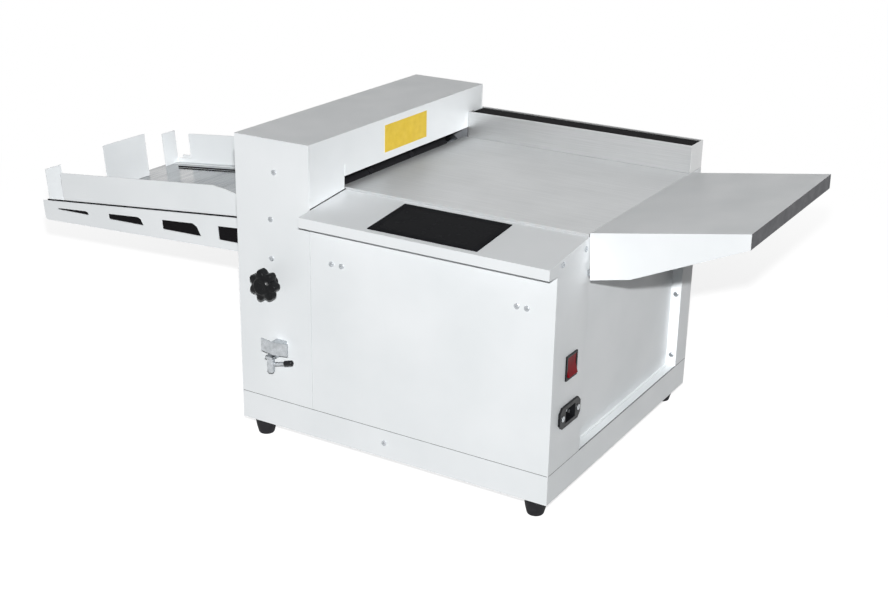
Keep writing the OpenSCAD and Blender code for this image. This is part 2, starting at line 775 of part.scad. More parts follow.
module side_plate(y0) {
    top = z_hood - 8;
    slot = beam_w + 0.3;
    outline = [
        [x_left + ledge_w + 1, foot_h + sheet], [x_tower - 2 * sheet - 1, foot_h + sheet],
        [x_tower - 2 * sheet - 1, hinge_z + 18], [x_tower - 2 * sheet - 7, top], [x_left + hinge_d + 3, top],
        [x_left + hinge_d + 3, z_plinth + 2], [x_left + ledge_w + 1, z_plinth + 2]];
    color(cast_grey) difference() {
        prism_y(y0, y0 + frame_t, outline);
        for (x = [feed_x, exit_x], z = [z_lower, z_upper]) bar_y(x, z, y0 - 1, y0 + frame_t + 1, bearing_d);
        bar_y(crease_x, z_crank, y0 - 1, y0 + frame_t + 1, bearing_d);
        block([crease_x - slot / 2, y0 - 1, z_beam - stroke - 1], [crease_x + slot / 2, y0 + frame_t + 1, top + 1]);
        children();
    }
}

module side_plate_front() {
    side_plate(y_frame) {
        bar_y(knob_x, knob_z, y_frame - 1, y_inside + 1, stem_d + 2 * shaft_fit);
        bar_y(motor_x, motor_z, y_frame - 1, y_inside + 1, 16);
        bar_y(pinion_x, pinion_z, y_frame - 1, y_inside + 1, 12);
    }
}

module side_plate_rear() {
    side_plate(y_inside_rear);
}

module tie_bars() {
    bar_d = 12;
    places = [
        [x_left + 26, foot_h + 80], [x_tower - 16, foot_h + 80], [x_left + 20, z_hood - 20], [x_tower - 16, z_hood - 20]];
    color(bright_steel) for (p = places) bar_y(p[0], p[1], y_inside, y_inside_rear, bar_d);
}

module bearings() {
    color(bright_steel) for (y = [y_frame, y_inside_rear])
        difference() {
            union() {
                for (x = [feed_x, exit_x], z = [z_lower, z_upper]) bar_y(x, z, y, y + frame_t, bearing_d);
                bar_y(crease_x, z_crank, y, y + frame_t, bearing_d);
            }
            for (x = [feed_x, exit_x], z = [z_lower, z_upper]) bar_y(x, z, y - 1, y + frame_t + 1, 2 * shaft_turn);
            bar_y(crease_x, z_crank, y - 1, y + frame_t + 1, 2 * shaft_turn);
        }
}

module roller_shaft(x, z, y0, y1, angle) {
    module_size = (roller_d + nip) / roller_teeth;
    bar_y(x, z, y0, y1, shaft_d);
    gear_y(x, z, rear_gear_y, roller_teeth, module_size, angle);
}

module feed_shaft_lower() {
    color(bright_steel) {
        roller_shaft(feed_x, z_lower, front_drive_y - 3, rear_pulley_y + belt_w + 2, 0);
        pulley_y(feed_x, z_lower, front_drive_y);
        pulley_y(feed_x, z_lower, rear_pulley_y);
    }
}

module feed_shaft_upper() {
    color(bright_steel) roller_shaft(feed_x, z_upper, y_frame - 1, rear_gear_y + gear_w, 180 / roller_teeth);
}

module exit_shaft_lower() {
    color(bright_steel) {
        roller_shaft(exit_x, z_lower, y_frame - 1, rear_pulley_y + belt_w + 2, 0);
        pulley_y(exit_x, z_lower, rear_pulley_y);
    }
}

module exit_shaft_upper() {
    color(bright_steel) roller_shaft(exit_x, z_upper, y_frame - 1, rear_gear_y + gear_w, 180 / roller_teeth);
}

module rubber_sleeves(x, z) {
    sleeves = 3;
    y0 = y_inside + 30;
    y1 = y_inside_rear - 24;
    pitch = (y1 - y0) / sleeves;
    color(black_rubber) for (i = [0 : sleeves - 1])
        difference() {
            bar_y(x, z, y0 + i * pitch + 6, y0 + (i + 1) * pitch - 6, roller_d);
            bar_y(x, z, y0, y1, shaft_d);
        }
}

module feed_rubber_lower() {
    rubber_sleeves(feed_x, z_lower);
}

module feed_rubber_upper() {
    rubber_sleeves(feed_x, z_upper);
}

module exit_rubber_lower() {
    rubber_sleeves(exit_x, z_lower);
}

module exit_rubber_upper() {
    rubber_sleeves(exit_x, z_upper);
}

module crease_beam() {
    yoke_z = z_crank + stroke / 2;
    yoke_h = 2 * (eccentric_r + yoke_gap);
    color(cast_grey) difference() {
        union() {
            block([crease_x - beam_w / 2, y_frame, z_beam], [crease_x + beam_w / 2, y_frame_rear, z_beam + beam_h]);
            for (y = arm_y) {
                block([crease_x - beam_w / 2, y, yoke_z], [crease_x + beam_w / 2, y + arm_t, z_beam + 1]);
                block([crease_x - yoke_w / 2 - yoke_wall, y, yoke_z - yoke_h / 2 - yoke_wall],
                    [crease_x + yoke_w / 2 + yoke_wall, y + arm_t, yoke_z + yoke_h / 2 + yoke_wall]);
            }
        }
        for (y = arm_y)
            block([crease_x - yoke_w / 2, y - 1, yoke_z - yoke_h / 2],
                [crease_x + yoke_w / 2, y + arm_t + 1, yoke_z + yoke_h / 2]);
        block([crease_x - blade_t / 2, arm_y[0] + arm_t, z_beam - 1],
            [crease_x + blade_t / 2, arm_y[1], z_beam + 10]);
    }
}

module crease_blade() {
    color(bright_steel)
        prism_y(arm_y[0] + arm_t, arm_y[1], [
            [crease_x - blade_t / 2, z_beam + 10], [crease_x - blade_t / 2, z_blade + 1], [crease_x - 0.4, z_blade],
            [crease_x + 0.4, z_blade], [crease_x + blade_t / 2, z_blade + 1], [crease_x + blade_t / 2, z_beam + 10]]);
}

module crease_anvil() {
    anvil_h = 16;
    groove = 1.4;
    arm_room = 0.5;
    half = beam_w / 2 + anvil_wall;
    color(bright_steel) difference() {
        block([crease_x - half, y_inside, z_table - anvil_h], [crease_x + half, y_inside_rear, z_table]);
        for (y = arm_y)
            block([crease_x - beam_w / 2 - arm_room, y - arm_room, z_table - anvil_h - 1],
                [crease_x + beam_w / 2 + arm_room, y + arm_t + arm_room, z_table + 1]);
        block([crease_x - groove / 2, y_inside - 1, z_table - 1.2],
            [crease_x + groove / 2, y_inside_rear + 1, z_table + 1]);
    }
}

// Closely wound springs between the anvil and the beam
module return_springs() {
    coils = 9;
    wire = 1.7;
    pitch = (z_beam - z_table - wire) / (coils - 1);
    color(bright_steel) for (y = [arm_y[0] + arm_t + 8, arm_y[1] - 8], side = [-1, 1])
        translate([crease_x + side * 5, y, z_table])
            rotate_extrude() for (i = [0 : coils - 1]) translate([1.9, wire / 2 + i * pitch]) circle(d = wire, $fn = 16);
}

module crank_shaft() {
    color(bright_steel) {
        bar_y(crease_x, z_crank, y_frame - gear_w - 2, y_frame_rear + 3, shaft_d);
        for (y = arm_y) bar_y(crease_x, z_crank + stroke / 2, y + 0.5, y + arm_t - 0.5, 2 * eccentric_r);
        gear_y(crease_x, z_crank, y_frame - gear_w - 2, crank_teeth, crank_module, 0);
    }
}

module crank_pinion() {
    color(bright_steel) {
        bar_y(pinion_x, pinion_z, y_frame - gear_w - 4, y_inside + 6, 6);
        gear_y(pinion_x, pinion_z, y_frame - gear_w - 2, pinion_teeth, crank_module, pinion_turn);
    }
}

module crease_motor() {
    motor_d = 34;
    motor_len = 62;
    color(cast_grey) difference() {
        union() {
            bar_y(pinion_x, pinion_z, y_inside, y_inside + motor_len, motor_d);
            bar_y(pinion_x, pinion_z, y_inside + motor_len - 1, y_inside + motor_len + 4, motor_d / 3);
        }
        bar_y(pinion_x, pinion_z, y_inside - 1, y_inside + 8, 6 + 2 * shaft_fit);
    }
}

module feed_motor() {
    motor_d = 54;
    motor_len = 88;
    color(cast_grey) difference() {
        union() {
            bar_y(motor_x, motor_z, y_inside, y_inside + motor_len, motor_d);
            bar_y(motor_x, motor_z, y_inside + motor_len - 1, y_inside + motor_len + 5, motor_d / 3);
        }
        bar_y(motor_x, motor_z, y_inside - 1, y_inside + 12, 8 + 2 * shaft_fit);
    }
}

module motor_pulley() {
    color(bright_steel) {
        pulley_y(motor_x, motor_z, front_drive_y);
        bar_y(motor_x, motor_z, front_drive_y, y_inside + 10, 8);
    }
}

module drive_belts() {
    color(black_rubber) {
        belt_y(motor_x, motor_z, front_drive_y, feed_x - motor_x, z_lower - motor_z);
        belt_y(exit_x, z_lower, rear_pulley_y, feed_x - exit_x, 0);
    }
}

module control_board() {
    x0 = x_mid - 26;
    y0 = y_mid - 80;
    w = 150;
    d = 110;
    standoff = 10;
    z0 = foot_h + sheet;
    color(board_green) {
        block([x0, y0, z0 + standoff], [x0 + w, y0 + d, z0 + standoff + 1.6]);
        for (x = [x0 + 6, x0 + w - 6], y = [y0 + 6, y0 + d - 6])
            translate([x, y, z0]) cylinder(d = 6, h = standoff + 0.5);
        for (i = [0 : 3])
            translate([x0 + 15 + i * 32, y0 + 20, z0 + standoff + 1]) cube([20, 30, 11]);
        block([x0 + 30, y0 + 66, z0 + standoff + 1], [x0 + 70, y0 + 96, z0 + standoff + 26]);
    }
}

module power_supply() {
    w = 160;
    d = 95;
    h = 48;
    x0 = x_mid - 26;
    y0 = y_mid + 50;
    color(brushed_steel) block([x0, y0, foot_h + sheet], [x0 + w, y0 + d, foot_h + sheet + h]);
}

// ---- Controls ----

module star_knob() {
    y0 = y_front - knob_reach;
    lobe = knob_d * 0.17;
    crown_h = 3;
    join = 0.1;
    collar_gap = 2;
    color(black_plastic) {
        translate([knob_x, y0 + knob_t, knob_z]) rotate([90, 0, 0]) {
            linear_extrude(knob_t - crown_h) difference() {
                union() {
                    circle(d = knob_d - lobe);
                    for (i = [0 : knob_lobes - 1]) rotate(i * 360 / knob_lobes)
                        translate([knob_d / 2 - lobe, 0]) circle(r = lobe);
                }
                for (i = [0 : knob_lobes - 1]) rotate((i + 0.5) * 360 / knob_lobes)
                    translate([knob_d / 2 + lobe * 0.35, 0]) circle(r = lobe * 1.15);
            }
            translate([0, 0, knob_t - crown_h - join])
                cylinder(d1 = knob_d * 0.66, d2 = knob_d * 0.48, h = crown_h + join);
        }
        bar_y(knob_x, knob_z, y0 + knob_t - join, y_front - collar_gap, knob_d * 0.45);
        bar_y(knob_x, knob_z, y_front - collar_gap - join, y_inside, stem_d);
    }
}

// A folded shield plate on a stub, with the lever's pivot below it
module lever_bracket() {
    t = 2;
    wing = [[x_left + 44, y_front - 15], [x_left + 67, y_front - 20], [x_left + 85, y_front - 15],
        [x_left + 85, y_front - 15 + t], [x_left + 67, y_front - 20 + t], [x_left + 44, y_front - 15 + t]];
    ear_z = lever_z + boss_h / 2 + 0.3;
    wing_z = lever_z + 15.5;
    color(bright_steel) {
        translate([0, 0, wing_z]) linear_extrude(16.5) polygon(wing);
        block([x_left + 58, y_front - 17, wing_z], [x_left + 74, y_front, wing_z + 14]);
        block([lever_x - 6, lever_y - 5, ear_z], [lever_x + 6, y_front, ear_z + 3]);
        block([lever_x - 2, y_front - 8, ear_z], [lever_x + 6, y_front, wing_z + 1]);
        translate([lever_x, lever_y, lever_z - boss_h / 2 - 2]) cylinder(d = lever_pin_d, h = boss_h + 3);
        translate([lever_x, lever_y, lever_z - boss_h / 2 - 2]) cylinder(d = lever_pin_d + 2.5, h = 1.7);
    }
}

module clamp_lever() {
    color(bright_steel) difference() {
        union() {
            translate([lever_x, lever_y, lever_z - boss_h / 2]) cylinder(d = boss_d, h = boss_h);
            translate([lever_x, lever_y, lever_z]) rotate([0, 90 - lever_rise, 0]) cylinder(d = 4.5, h = lever_len - 1.5);
        }
        translate([lever_x, lever_y, lever_z - boss_h]) cylinder(d = lever_pin_d + 2 * shaft_fit, h = 2 * boss_h);
    }
}

module lever_grip() {
    color(black_plastic) translate([lever_x, lever_y, lever_z]) rotate([0, 90 - lever_rise, 0]) difference() {
        union() {
            translate([0, 0, lever_len - grip_len]) cylinder(d = grip_d, h = grip_len - 1);
            translate([0, 0, lever_len - 1.1]) cylinder(d1 = grip_d, d2 = grip_d - 2, h = 1.1);
        }
        cylinder(d = 4.5, h = lever_len - 1.5);
    }
}

module switch_bezel() {
    proud = 2;
    deep = 20;
    hw = switch_w / 2;
    hh = switch_h / 2;
    color(black_plastic) difference() {
        union() {
            block([x_right, switch_y - hw, switch_mid - hh], [x_right + proud, switch_y + hw, switch_mid + hh]);
            block([x_right - deep, switch_y - hw + 2, switch_mid - hh + 2],
                [x_right + 0.5, switch_y + hw - 2, switch_mid + hh - 2]);
        }
        block([x_right - deep + 3, switch_y - hw + bezel_wall, switch_mid - hh + bezel_wall],
            [x_right + proud + 1, switch_y + hw - bezel_wall, switch_mid + hh - bezel_wall]);
        bar_y(x_right - 3, switch_mid, switch_y - hw + 1, switch_y + hw - 1, 3 + 2 * shaft_fit);
    }
}

module switch_rocker() {
    hw = switch_w / 2 - bezel_wall - 0.3;
    hh = switch_h / 2 - bezel_wall - 1;
    outline = [[-6, -hh * 0.8], [-6, hh * 0.8], [6, hh], [4, 0], [6, -hh]];
    color(switch_red) translate([x_right - 3, switch_y, switch_mid]) rotate([0, -rocker_tilt, 0]) {
        prism_y(-hw, hw, outline);
        bar_y(0, 0, -hw - 1, hw + 1, 3);
    }
}

module mains_inlet() {
    proud = 3;
    deep = 24;
    hw = inlet_w / 2;
    hh = inlet_h / 2;
    cut = 6;
    hollow_w = 25;
    hollow_h = 17;
    flange = [[-hw + cut, -hh], [hw - cut, -hh], [hw, -hh + cut], [hw, hh - cut], [hw - cut, hh], [-hw + cut, hh],
        [-hw, hh - cut], [-hw, -hh + cut]];
    color(black_plastic) translate([x_right, switch_y, inlet_mid]) {
        difference() {
            union() {
                prism_x(0, proud, flange);
                block([-deep, -14.5, -10.5], [0.5, 14.5, 10.5]);
            }
            block([-deep + 5, -hollow_w / 2, -hollow_h / 2], [proud + 1, hollow_w / 2, hollow_h / 2]);
            for (side = [-1, 1]) translate([0, side * 20, 0]) screw_hole([proud, 0, 0], facing_infeed);
        }
        for (p = [[-7, -1.5], [0, 2.5], [7, -1.5]]) block([-deep + 4, p[0] - 1, p[1] - 2], [-2, p[0] + 1, p[1] + 2]);
    }
}

module screws() {
    color(bright_steel) {
        for (p = tower_screws) screw([p[0], y_front, p[1]], facing_front);
        for (p = cover_screws) screw([p[0], y_front, p[1]], facing_front);
        screw([plinth_screw[0], y_front, plinth_screw[1]], facing_front);
        for (p = deck_screws) screw([x_right + sheet, p[0], p[1]], facing_infeed);
        for (p = column_screws) screw([p[0], y_back - column_w, p[1]], facing_front);
        for (p = rear_screws) screw([p[0], y_back, p[1]], facing_back);
        for (p = left_screws) screw([x_left, p[0], p[1]], facing_exit);
        for (p = inlet_screws) screw([x_right + 3, p[0], p[1]], facing_infeed);
    }
}

// ---- Delivery tray ----

function rail_depth(x) = rail_root_h + (rail_root_h - rail_end_h) * x / rail_len;       // x is negative
function window_top(x) = -15 - 0.012 * x;
function window_foot(x) = -40 - 0.069 * x;

function window_outline(i) =
    let (x0 = -window_x - i * window_pitch, x1 = x0 + window_w, top = window_top(x0), foot = window_foot(x0),
        h = window_top(x1) - window_foot(x1), x2 = x1 + 0.65 * h)
    [[x0, top - 1], [x0 + 1.5, top], [x1 - 2, window_top(x1)], [x1 + 0.3 * h, window_top(x1) - 0.25 * h],
        [x2, window_foot(x2)], [x0 + 1.5, foot], [x0, foot + 1]];

module tray_rails() {
    flange = 9;
    root_x = -rail_root_h * tan(tray_slope) - 0.05;         // leans on the body
    outline = [
        [-rail_len, 0], [-pivot_in, 0], [-2.2, -5], [root_x, -rail_depth(0)],
        [-rail_len + 3, -rail_depth(-rail_len)], [-rail_len, -rail_depth(-rail_len) + 3]];
    slope_foot = atan((rail_root_h - rail_end_h) / rail_len);
    color(white_paint) on_tray() for (side = [0, 1])
        difference() {
            union() {
                prism_y(rail_y[side], rail_y[side] + sheet, outline);
                translate([0, side == 0 ? rail_y[0] : rail_y[1] + sheet - flange, -rail_depth(0)])
                    rotate([0, slope_foot, 0]) block([-rail_len + 4, 0, 0], [root_x - 2, flange, sheet]);
            }
            for (i = [0 : window_n - 1]) prism_y(rail_y[side] - 1, rail_y[side] + sheet + 1, window_outline(i));
            bar_y(-pivot_in, -pivot_in, rail_y[side] - 1, rail_y[side] + sheet + 1, tray_pin_d + 2 * shaft_fit);
        }
}

module tray_bed() {
    y0 = rail_y[0] + sheet;
    y1 = rail_y[1];
    x1 = -18;
    drop = 9;
    color(brushed_steel) on_tray() {
        block([-rail_len, y0, -bed_drop - sheet], [x1, y1, -bed_drop]);
        block([-rail_len, y0, -bed_drop - drop], [-rail_len + sheet, y1, -bed_drop]);
        block([x1 - sheet, y0, -bed_drop - drop], [x1, y1, -bed_drop]);
    }
}

module tray_brackets() {
    t = 3;
    foot_w = 16;
    pin_out = 1.5;
    color(white_paint) for (side = [0, 1]) {
        y0 = side == 0 ? rail_y[0] + sheet + 0.4 : rail_y[1] - 0.4 - t;
        pivot = [-pivot_in * cos(tray_slope) + pivot_in * sin(tray_slope),
            -pivot_in * sin(tray_slope) - pivot_in * cos(tray_slope)];
        block([x_left - 14, y0, z_tray - 17], [x_left, y0 + t, z_tray - 4]);
        block([x_left - sheet, side == 0 ? y0 : y0 + t - foot_w, z_tray - 40],
            [x_left, side == 0 ? y0 + foot_w : y0 + t, z_tray - 4]);
        bar_y(x_left + pivot[0], z_tray + pivot[1], side == 0 ? rail_y[0] - pin_out : y0,
            side == 0 ? y0 + t : rail_y[1] + sheet + pin_out, tray_pin_d);
    }
}

// A side guide along X whose inner face stands at y0; inward is 1 or -1
module guide_sheet(y0, inward) {
    low = guide_h * 0.16;
    back = y0 - inward * guide_t;
    outline = [
        [tab_x + 30, 0], [tab_x + 30, guide_h], [guide_root - 53, guide_h], [guide_root - 32, guide_h - 4],
        [guide_root - 10, guide_h - 11], [guide_root - 2, guide_h - 22], [guide_root, 0]];
    translate([0, 0, -bed_drop + slide_gap]) {
        prism_y(min(y0, back), max(y0, back), outline);
        block([tab_x, min(y0, back), 0], [tab_x + 31, max(y0, back), low]);
        block([tab_x, min(back, back + inward * tab_w), 0],
            [tab_x + guide_t, max(back, back + inward * tab_w), guide_h + tab_rise]);
        block([tab_x, min(back, y0 + inward * guide_foot), 0],
            [guide_root, max(back, y0 + inward * guide_foot), guide_t]);
    }
}

module side_guide_front() {
    color(white_paint) on_tray() guide_sheet(guide_y, 1);
}

module side_guide_rear() {
    color(white_paint) on_tray() guide_sheet(guide_y + guide_gap, -1);
}

module end_stop() {
    y0 = y_front + table_y + ext_w / 2 - stop_w / 2;
    foot = 15;
    color(white_paint) on_tray() translate([-stop_x, y0, -bed_drop + slide_gap]) {
        block([-guide_t, 0, 0], [0, stop_w, stop_h]);
        block([-foot, 0, 0], [0, stop_w, guide_t]);
    }
}

base_tray();
feet();
front_cover();
tower_front_cover();
side_strip();
recess_panel();
rear_column();
rear_cover();
left_cover();
exit_cover();
hood();
hinge_pins();
yellow_plate();
control_deck();
touch_panel();
feed_table();
table_posts();
table_beams();
side_fence();
fence_liner();
infeed_extension();
extension_brackets();
side_plate_front();
side_plate_rear();
tie_bars();
bearings();
feed_shaft_lower();
feed_shaft_upper();
exit_shaft_lower();
exit_shaft_upper();
feed_rubber_lower();
feed_rubber_upper();
exit_rubber_lower();
exit_rubber_upper();
crease_beam();
crease_blade();
crease_anvil();
return_springs();
crank_shaft();
crease_motor();
crank_pinion();
feed_motor();
motor_pulley();
drive_belts();
control_board();
power_supply();
star_knob();
lever_bracket();
clamp_lever();
lever_grip();
switch_bezel();
switch_rocker();
mains_inlet();
screws();
tray_rails();
tray_bed();
tray_brackets();
side_guide_front();
side_guide_rear();
end_stop();
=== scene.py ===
"""Desktop paper creasing machine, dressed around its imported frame.

Powder coated sheet steel, a brushed steel table, moulded plastic controls and the mechanism in the
tower each get rounded edges and a finish of their own. All lengths are in metres, in the frame of the
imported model.
"""

from __future__ import annotations

import json
import logging
import math
from dataclasses import dataclass
from enum import Enum
from typing import Callable, Iterable

import bmesh
import bpy
from mathutils import Matrix, Vector


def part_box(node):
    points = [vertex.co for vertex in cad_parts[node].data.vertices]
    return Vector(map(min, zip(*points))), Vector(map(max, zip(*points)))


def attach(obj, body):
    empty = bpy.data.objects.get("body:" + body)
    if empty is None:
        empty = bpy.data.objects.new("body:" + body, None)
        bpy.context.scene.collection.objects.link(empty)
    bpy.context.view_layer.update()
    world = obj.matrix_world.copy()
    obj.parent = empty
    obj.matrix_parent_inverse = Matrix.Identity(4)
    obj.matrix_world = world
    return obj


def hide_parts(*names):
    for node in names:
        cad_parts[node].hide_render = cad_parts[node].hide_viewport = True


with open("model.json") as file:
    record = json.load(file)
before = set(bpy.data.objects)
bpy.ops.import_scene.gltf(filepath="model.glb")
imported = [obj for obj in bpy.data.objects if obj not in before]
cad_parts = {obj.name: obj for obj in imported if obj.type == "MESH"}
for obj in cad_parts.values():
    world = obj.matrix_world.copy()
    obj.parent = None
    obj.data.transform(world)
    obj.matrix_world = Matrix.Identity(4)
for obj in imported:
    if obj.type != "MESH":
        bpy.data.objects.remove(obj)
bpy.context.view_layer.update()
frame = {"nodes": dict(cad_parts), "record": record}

LOG = logging.getLogger("creasing_machine")
MM = 0.001
BODY_OF = {node: body for body, nodes in frame["record"]["behaviour"]["bodies"].items() for node in nodes}

Point = tuple[float, float, float]
Test = Callable[[bmesh.types.BMFace], bool]


# ---- Finishes ----


def srgb(code: str) -> tuple[float, float, float, float]:
    """Turns an sRGB hex colour into a linear colour.

    Args:
        code: Six hex digits.

    Returns:
        Red, green and blue as linear values, and an alpha of 1.
    """
    parts = [int(code[i : i + 2], 16) / 255 for i in (0, 2, 4)]
    linear = [c / 12.92 if c <= 0.04045 else ((c + 0.055) / 1.055) ** 2.4 for c in parts]
    return (linear[0], linear[1], linear[2], 1.0)


def add(
    tree: bpy.types.NodeTree,
    kind: str,
    inputs: dict[str | int, object] | None = None,
    **settings: object,
) -> bpy.types.Node:
    """Adds a node with its settings and links.

    Args:
        tree: The node tree that the node goes into.
        kind: Blender's name for the kind of node.
        inputs: A value or another node's output for each named or numbered input.
        settings: The node's own properties.

    Returns:
        The new node.
    """
    made = tree.nodes.new(kind)
    for name, value in settings.items():
        setattr(made, name, value)
    for key, value in (inputs or {}).items():
        if isinstance(value, bpy.types.NodeSocket):
            tree.links.new(value, made.inputs[key])
        else:
            made.inputs[key].default_value = value
    return made


class Grain(Enum):
    """The direction in which a sheet was brushed, as how far a streak is stretched along each axis."""

    ALONG_X = (60.0, 1.0, 1.0)
    ALONG_Y = (1.0, 60.0, 1.0)
    NONE = (1.0, 1.0, 1.0)


@dataclass(frozen=True)
class Finish:
    """What a surface is made of and how it was worked.

    Attributes:
        name: The finish in a maker's words.
        slot: The record's material slot.
        colour: Its colour as sRGB hex.
        shade: The colour of its darker or dustier places as sRGB hex.
        roughness: Its mean roughness.
    """

    name: str
    slot: str
    colour: str
    shade: str
    roughness: float

    def material(self) -> bpy.types.Material:
        """Returns this finish as a material, which is made on its first use."""
        found = bpy.data.materials.get(self.name)
        if found is not None:
            return found
        made = bpy.data.materials.new(self.name)
        made.use_nodes = True
        tree = made.node_tree
        tree.nodes.clear()
        shader = add(tree, "ShaderNodeBsdfPrincipled", {"Roughness": self.roughness})
        add(tree, "ShaderNodeOutputMaterial", {"Surface": shader.outputs[0]})
        self.dress(tree, shader)
        return made

    def dress(self, tree: bpy.types.NodeTree, shader: bpy.types.Node) -> None:
        """Gives the shader its colour.

        Args:
            tree: The material's nodes.
            shader: The material's surface shader.
        """
        shader.inputs["Base Color"].default_value = srgb(self.colour)

    def noise(
        self, tree: bpy.types.NodeTree, size: float, stretch: Point = (1.0, 1.0, 1.0), detail: float = 2.0
    ) -> bpy.types.NodeSocket:
        """Adds a noise pattern on the piece's own coordinates.

        Args:
            tree: The material's nodes.
            size: The size of one grain in millimetres.
            stretch: How much longer a grain is along each axis.
            detail: How many finer layers lie on top.

        Returns:
            The pattern, from 0 to 1.
        """
        place = add(tree, "ShaderNodeTexCoord").outputs["Object"]
        scale = tuple(1 / (size * MM * s) for s in stretch)
        sized = add(tree, "ShaderNodeMapping", {"Vector": place, "Scale": scale}).outputs[0]
        return add(tree, "ShaderNodeTexNoise", {"Vector": sized, "Scale": 1.0, "Detail": detail}).outputs[0]

    def between(
        self,
        tree: bpy.types.NodeTree,
        pattern: bpy.types.NodeSocket,
        low: float,
        high: float,
        spread: float = 0.2,
    ) -> bpy.types.NodeSocket:
        """Spreads a pattern over a range of values.

        Args:
            tree: The material's nodes.
            pattern: A pattern that lies about a half.
            low: The value at the pattern's low end.
            high: The value at the pattern's high end.
            spread: How far from a half the pattern's ends are.

        Returns:
            The spread value.
        """
        ends = {"From Min": 0.5 - spread, "From Max": 0.5 + spread, "To Min": low, "To Max": high}
        return add(tree, "ShaderNodeMapRange", {"Value": pattern, **ends}).outputs[0]

    def tint(self, tree: bpy.types.NodeTree, shader: bpy.types.Node, amount: bpy.types.NodeSocket) -> None:
        """Colours the shader between its colour and its shade.

        Args:
            tree: The material's nodes.
            shader: The material's surface shader.
            amount: How much of the shade there is, from 0 to 1.
        """
        mixed = add(
            tree, "ShaderNodeMix", {0: amount, 6: srgb(self.colour), 7: srgb(self.shade)}, data_type="RGBA"
        ).outputs[2]
        tree.links.new(mixed, shader.inputs["Base Color"])

    def relief(
        self, tree: bpy.types.NodeTree, shader: bpy.types.Node, height: bpy.types.NodeSocket, depth: float
    ) -> None:
        """Raises and lowers the surface by a pattern.

        Args:
            tree: The material's nodes.
            shader: The material's surface shader.
            height: The pattern.
            depth: The pattern's relief in millimetres.
        """
        bump = add(tree, "ShaderNodeBump", {"Height": height, "Strength": 1.0, "Distance": depth * MM})
        tree.links.new(bump.outputs[0], shader.inputs["Normal"])


@dataclass(frozen=True)
class PowderCoat(Finish):
    """Polyester powder coat, baked on sheet steel. It gives a satin skin with a faint orange peel.

    Attributes:
        peel: The size of the orange peel in millimetres, drawn coarser than the real 1 mm to show.
    """

    peel: float = 1.8

    def dress(self, tree: bpy.types.NodeTree, shader: bpy.types.Node) -> None:
        """Adds the clouded colour, the handled satin gloss and the peel."""
        self.tint(tree, shader, self.between(tree, self.noise(tree, 130, detail=3), 0, 1))
        gloss = self.between(tree, self.noise(tree, 45), self.roughness - 0.06, self.roughness + 0.08)
        tree.links.new(gloss, shader.inputs["Roughness"])
        self.relief(tree, shader, self.noise(tree, self.peel), 0.012)


@dataclass(frozen=True)
class BrushedSteel(Finish):
    """Stainless sheet brushed with a belt. It gives long fine streaks and a blurred mirror.

    Attributes:
        grain: The direction of the streaks.
        streak: The width of a streak in millimetres, drawn coarser than the real 0.1 mm to show.
        contrast: How far the streaks change the colour, from 0 to 1.
        mirror: How much of the surface mirrors. The rest is dulled by a matt brushing.
    """

    grain: Grain = Grain.ALONG_X
    streak: float = 0.9
    contrast: float = 0.6
    mirror: float = 1.0

    def dress(self, tree: bpy.types.NodeTree, shader: bpy.types.Node) -> None:
        """Adds the streaks to the colour, the gloss and the relief, and clouds of handling."""
        shader.inputs["Metallic"].default_value = self.mirror
        streaks = self.noise(tree, self.streak, self.grain.value, detail=3)
        clouds = self.noise(tree, 90)
        both = add(tree, "ShaderNodeMix", {0: 0.45, 2: streaks, 3: clouds}).outputs[0]
        self.tint(tree, shader, self.between(tree, both, 0, self.contrast))
        gloss = self.between(tree, both, self.roughness - 0.07, self.roughness + 0.09)
        tree.links.new(gloss, shader.inputs["Roughness"])
        self.relief(tree, shader, streaks, 0.004)


@dataclass(frozen=True)
class PlatedSteel(Finish):
    """Steel with a thin zinc or nickel plating. It gives a cool shine with soft cloudy spots.

    Attributes:
        spot: The size of a cloudy spot in millimetres.
    """

    spot: float = 6.0

    def dress(self, tree: bpy.types.NodeTree, shader: bpy.types.Node) -> None:
        """Adds the spots to the colour and the gloss, and fine tool marks."""
        shader.inputs["Metallic"].default_value = 1.0
        spots = self.noise(tree, self.spot, detail=3)
        self.tint(tree, shader, self.between(tree, spots, 0, 1))
        gloss = self.between(tree, spots, self.roughness - 0.08, self.roughness + 0.1)
        tree.links.new(gloss, shader.inputs["Roughness"])
        self.relief(tree, shader, self.noise(tree, 0.8), 0.003)


@dataclass(frozen=True)
class Moulding(Finish):
    """Injection moulded plastic or moulded rubber. It gives the fine grain that the mould was eroded with.

    Attributes:
        grain: The size of the grain in millimetres, drawn a little coarser than the real one to show.
        depth: The depth of the grain in millimetres.
        coat: How much of a gloss lies on top.
        gleam: How strongly the bare surface mirrors, where 0.5 is plain plastic.
    """

    grain: float = 0.6
    depth: float = 0.02
    coat: float = 0.0
    gleam: float = 0.25

    def dress(self, tree: bpy.types.NodeTree, shader: bpy.types.Node) -> None:
        """Adds the grain, with dust and handling in its colour and gloss."""
        shader.inputs["Coat Weight"].default_value = self.coat
        shader.inputs["Specular IOR Level"].default_value = self.gleam
        self.tint(tree, shader, self.between(tree, self.noise(tree, 9, detail=4), 0, 1, 0.25))
        gloss = self.between(tree, self.noise(tree, 14), self.roughness - 0.07, self.roughness + 0.07)
        tree.links.new(gloss, shader.inputs["Roughness"])
        self.relief(tree, shader, self.noise(tree, self.grain), self.depth)


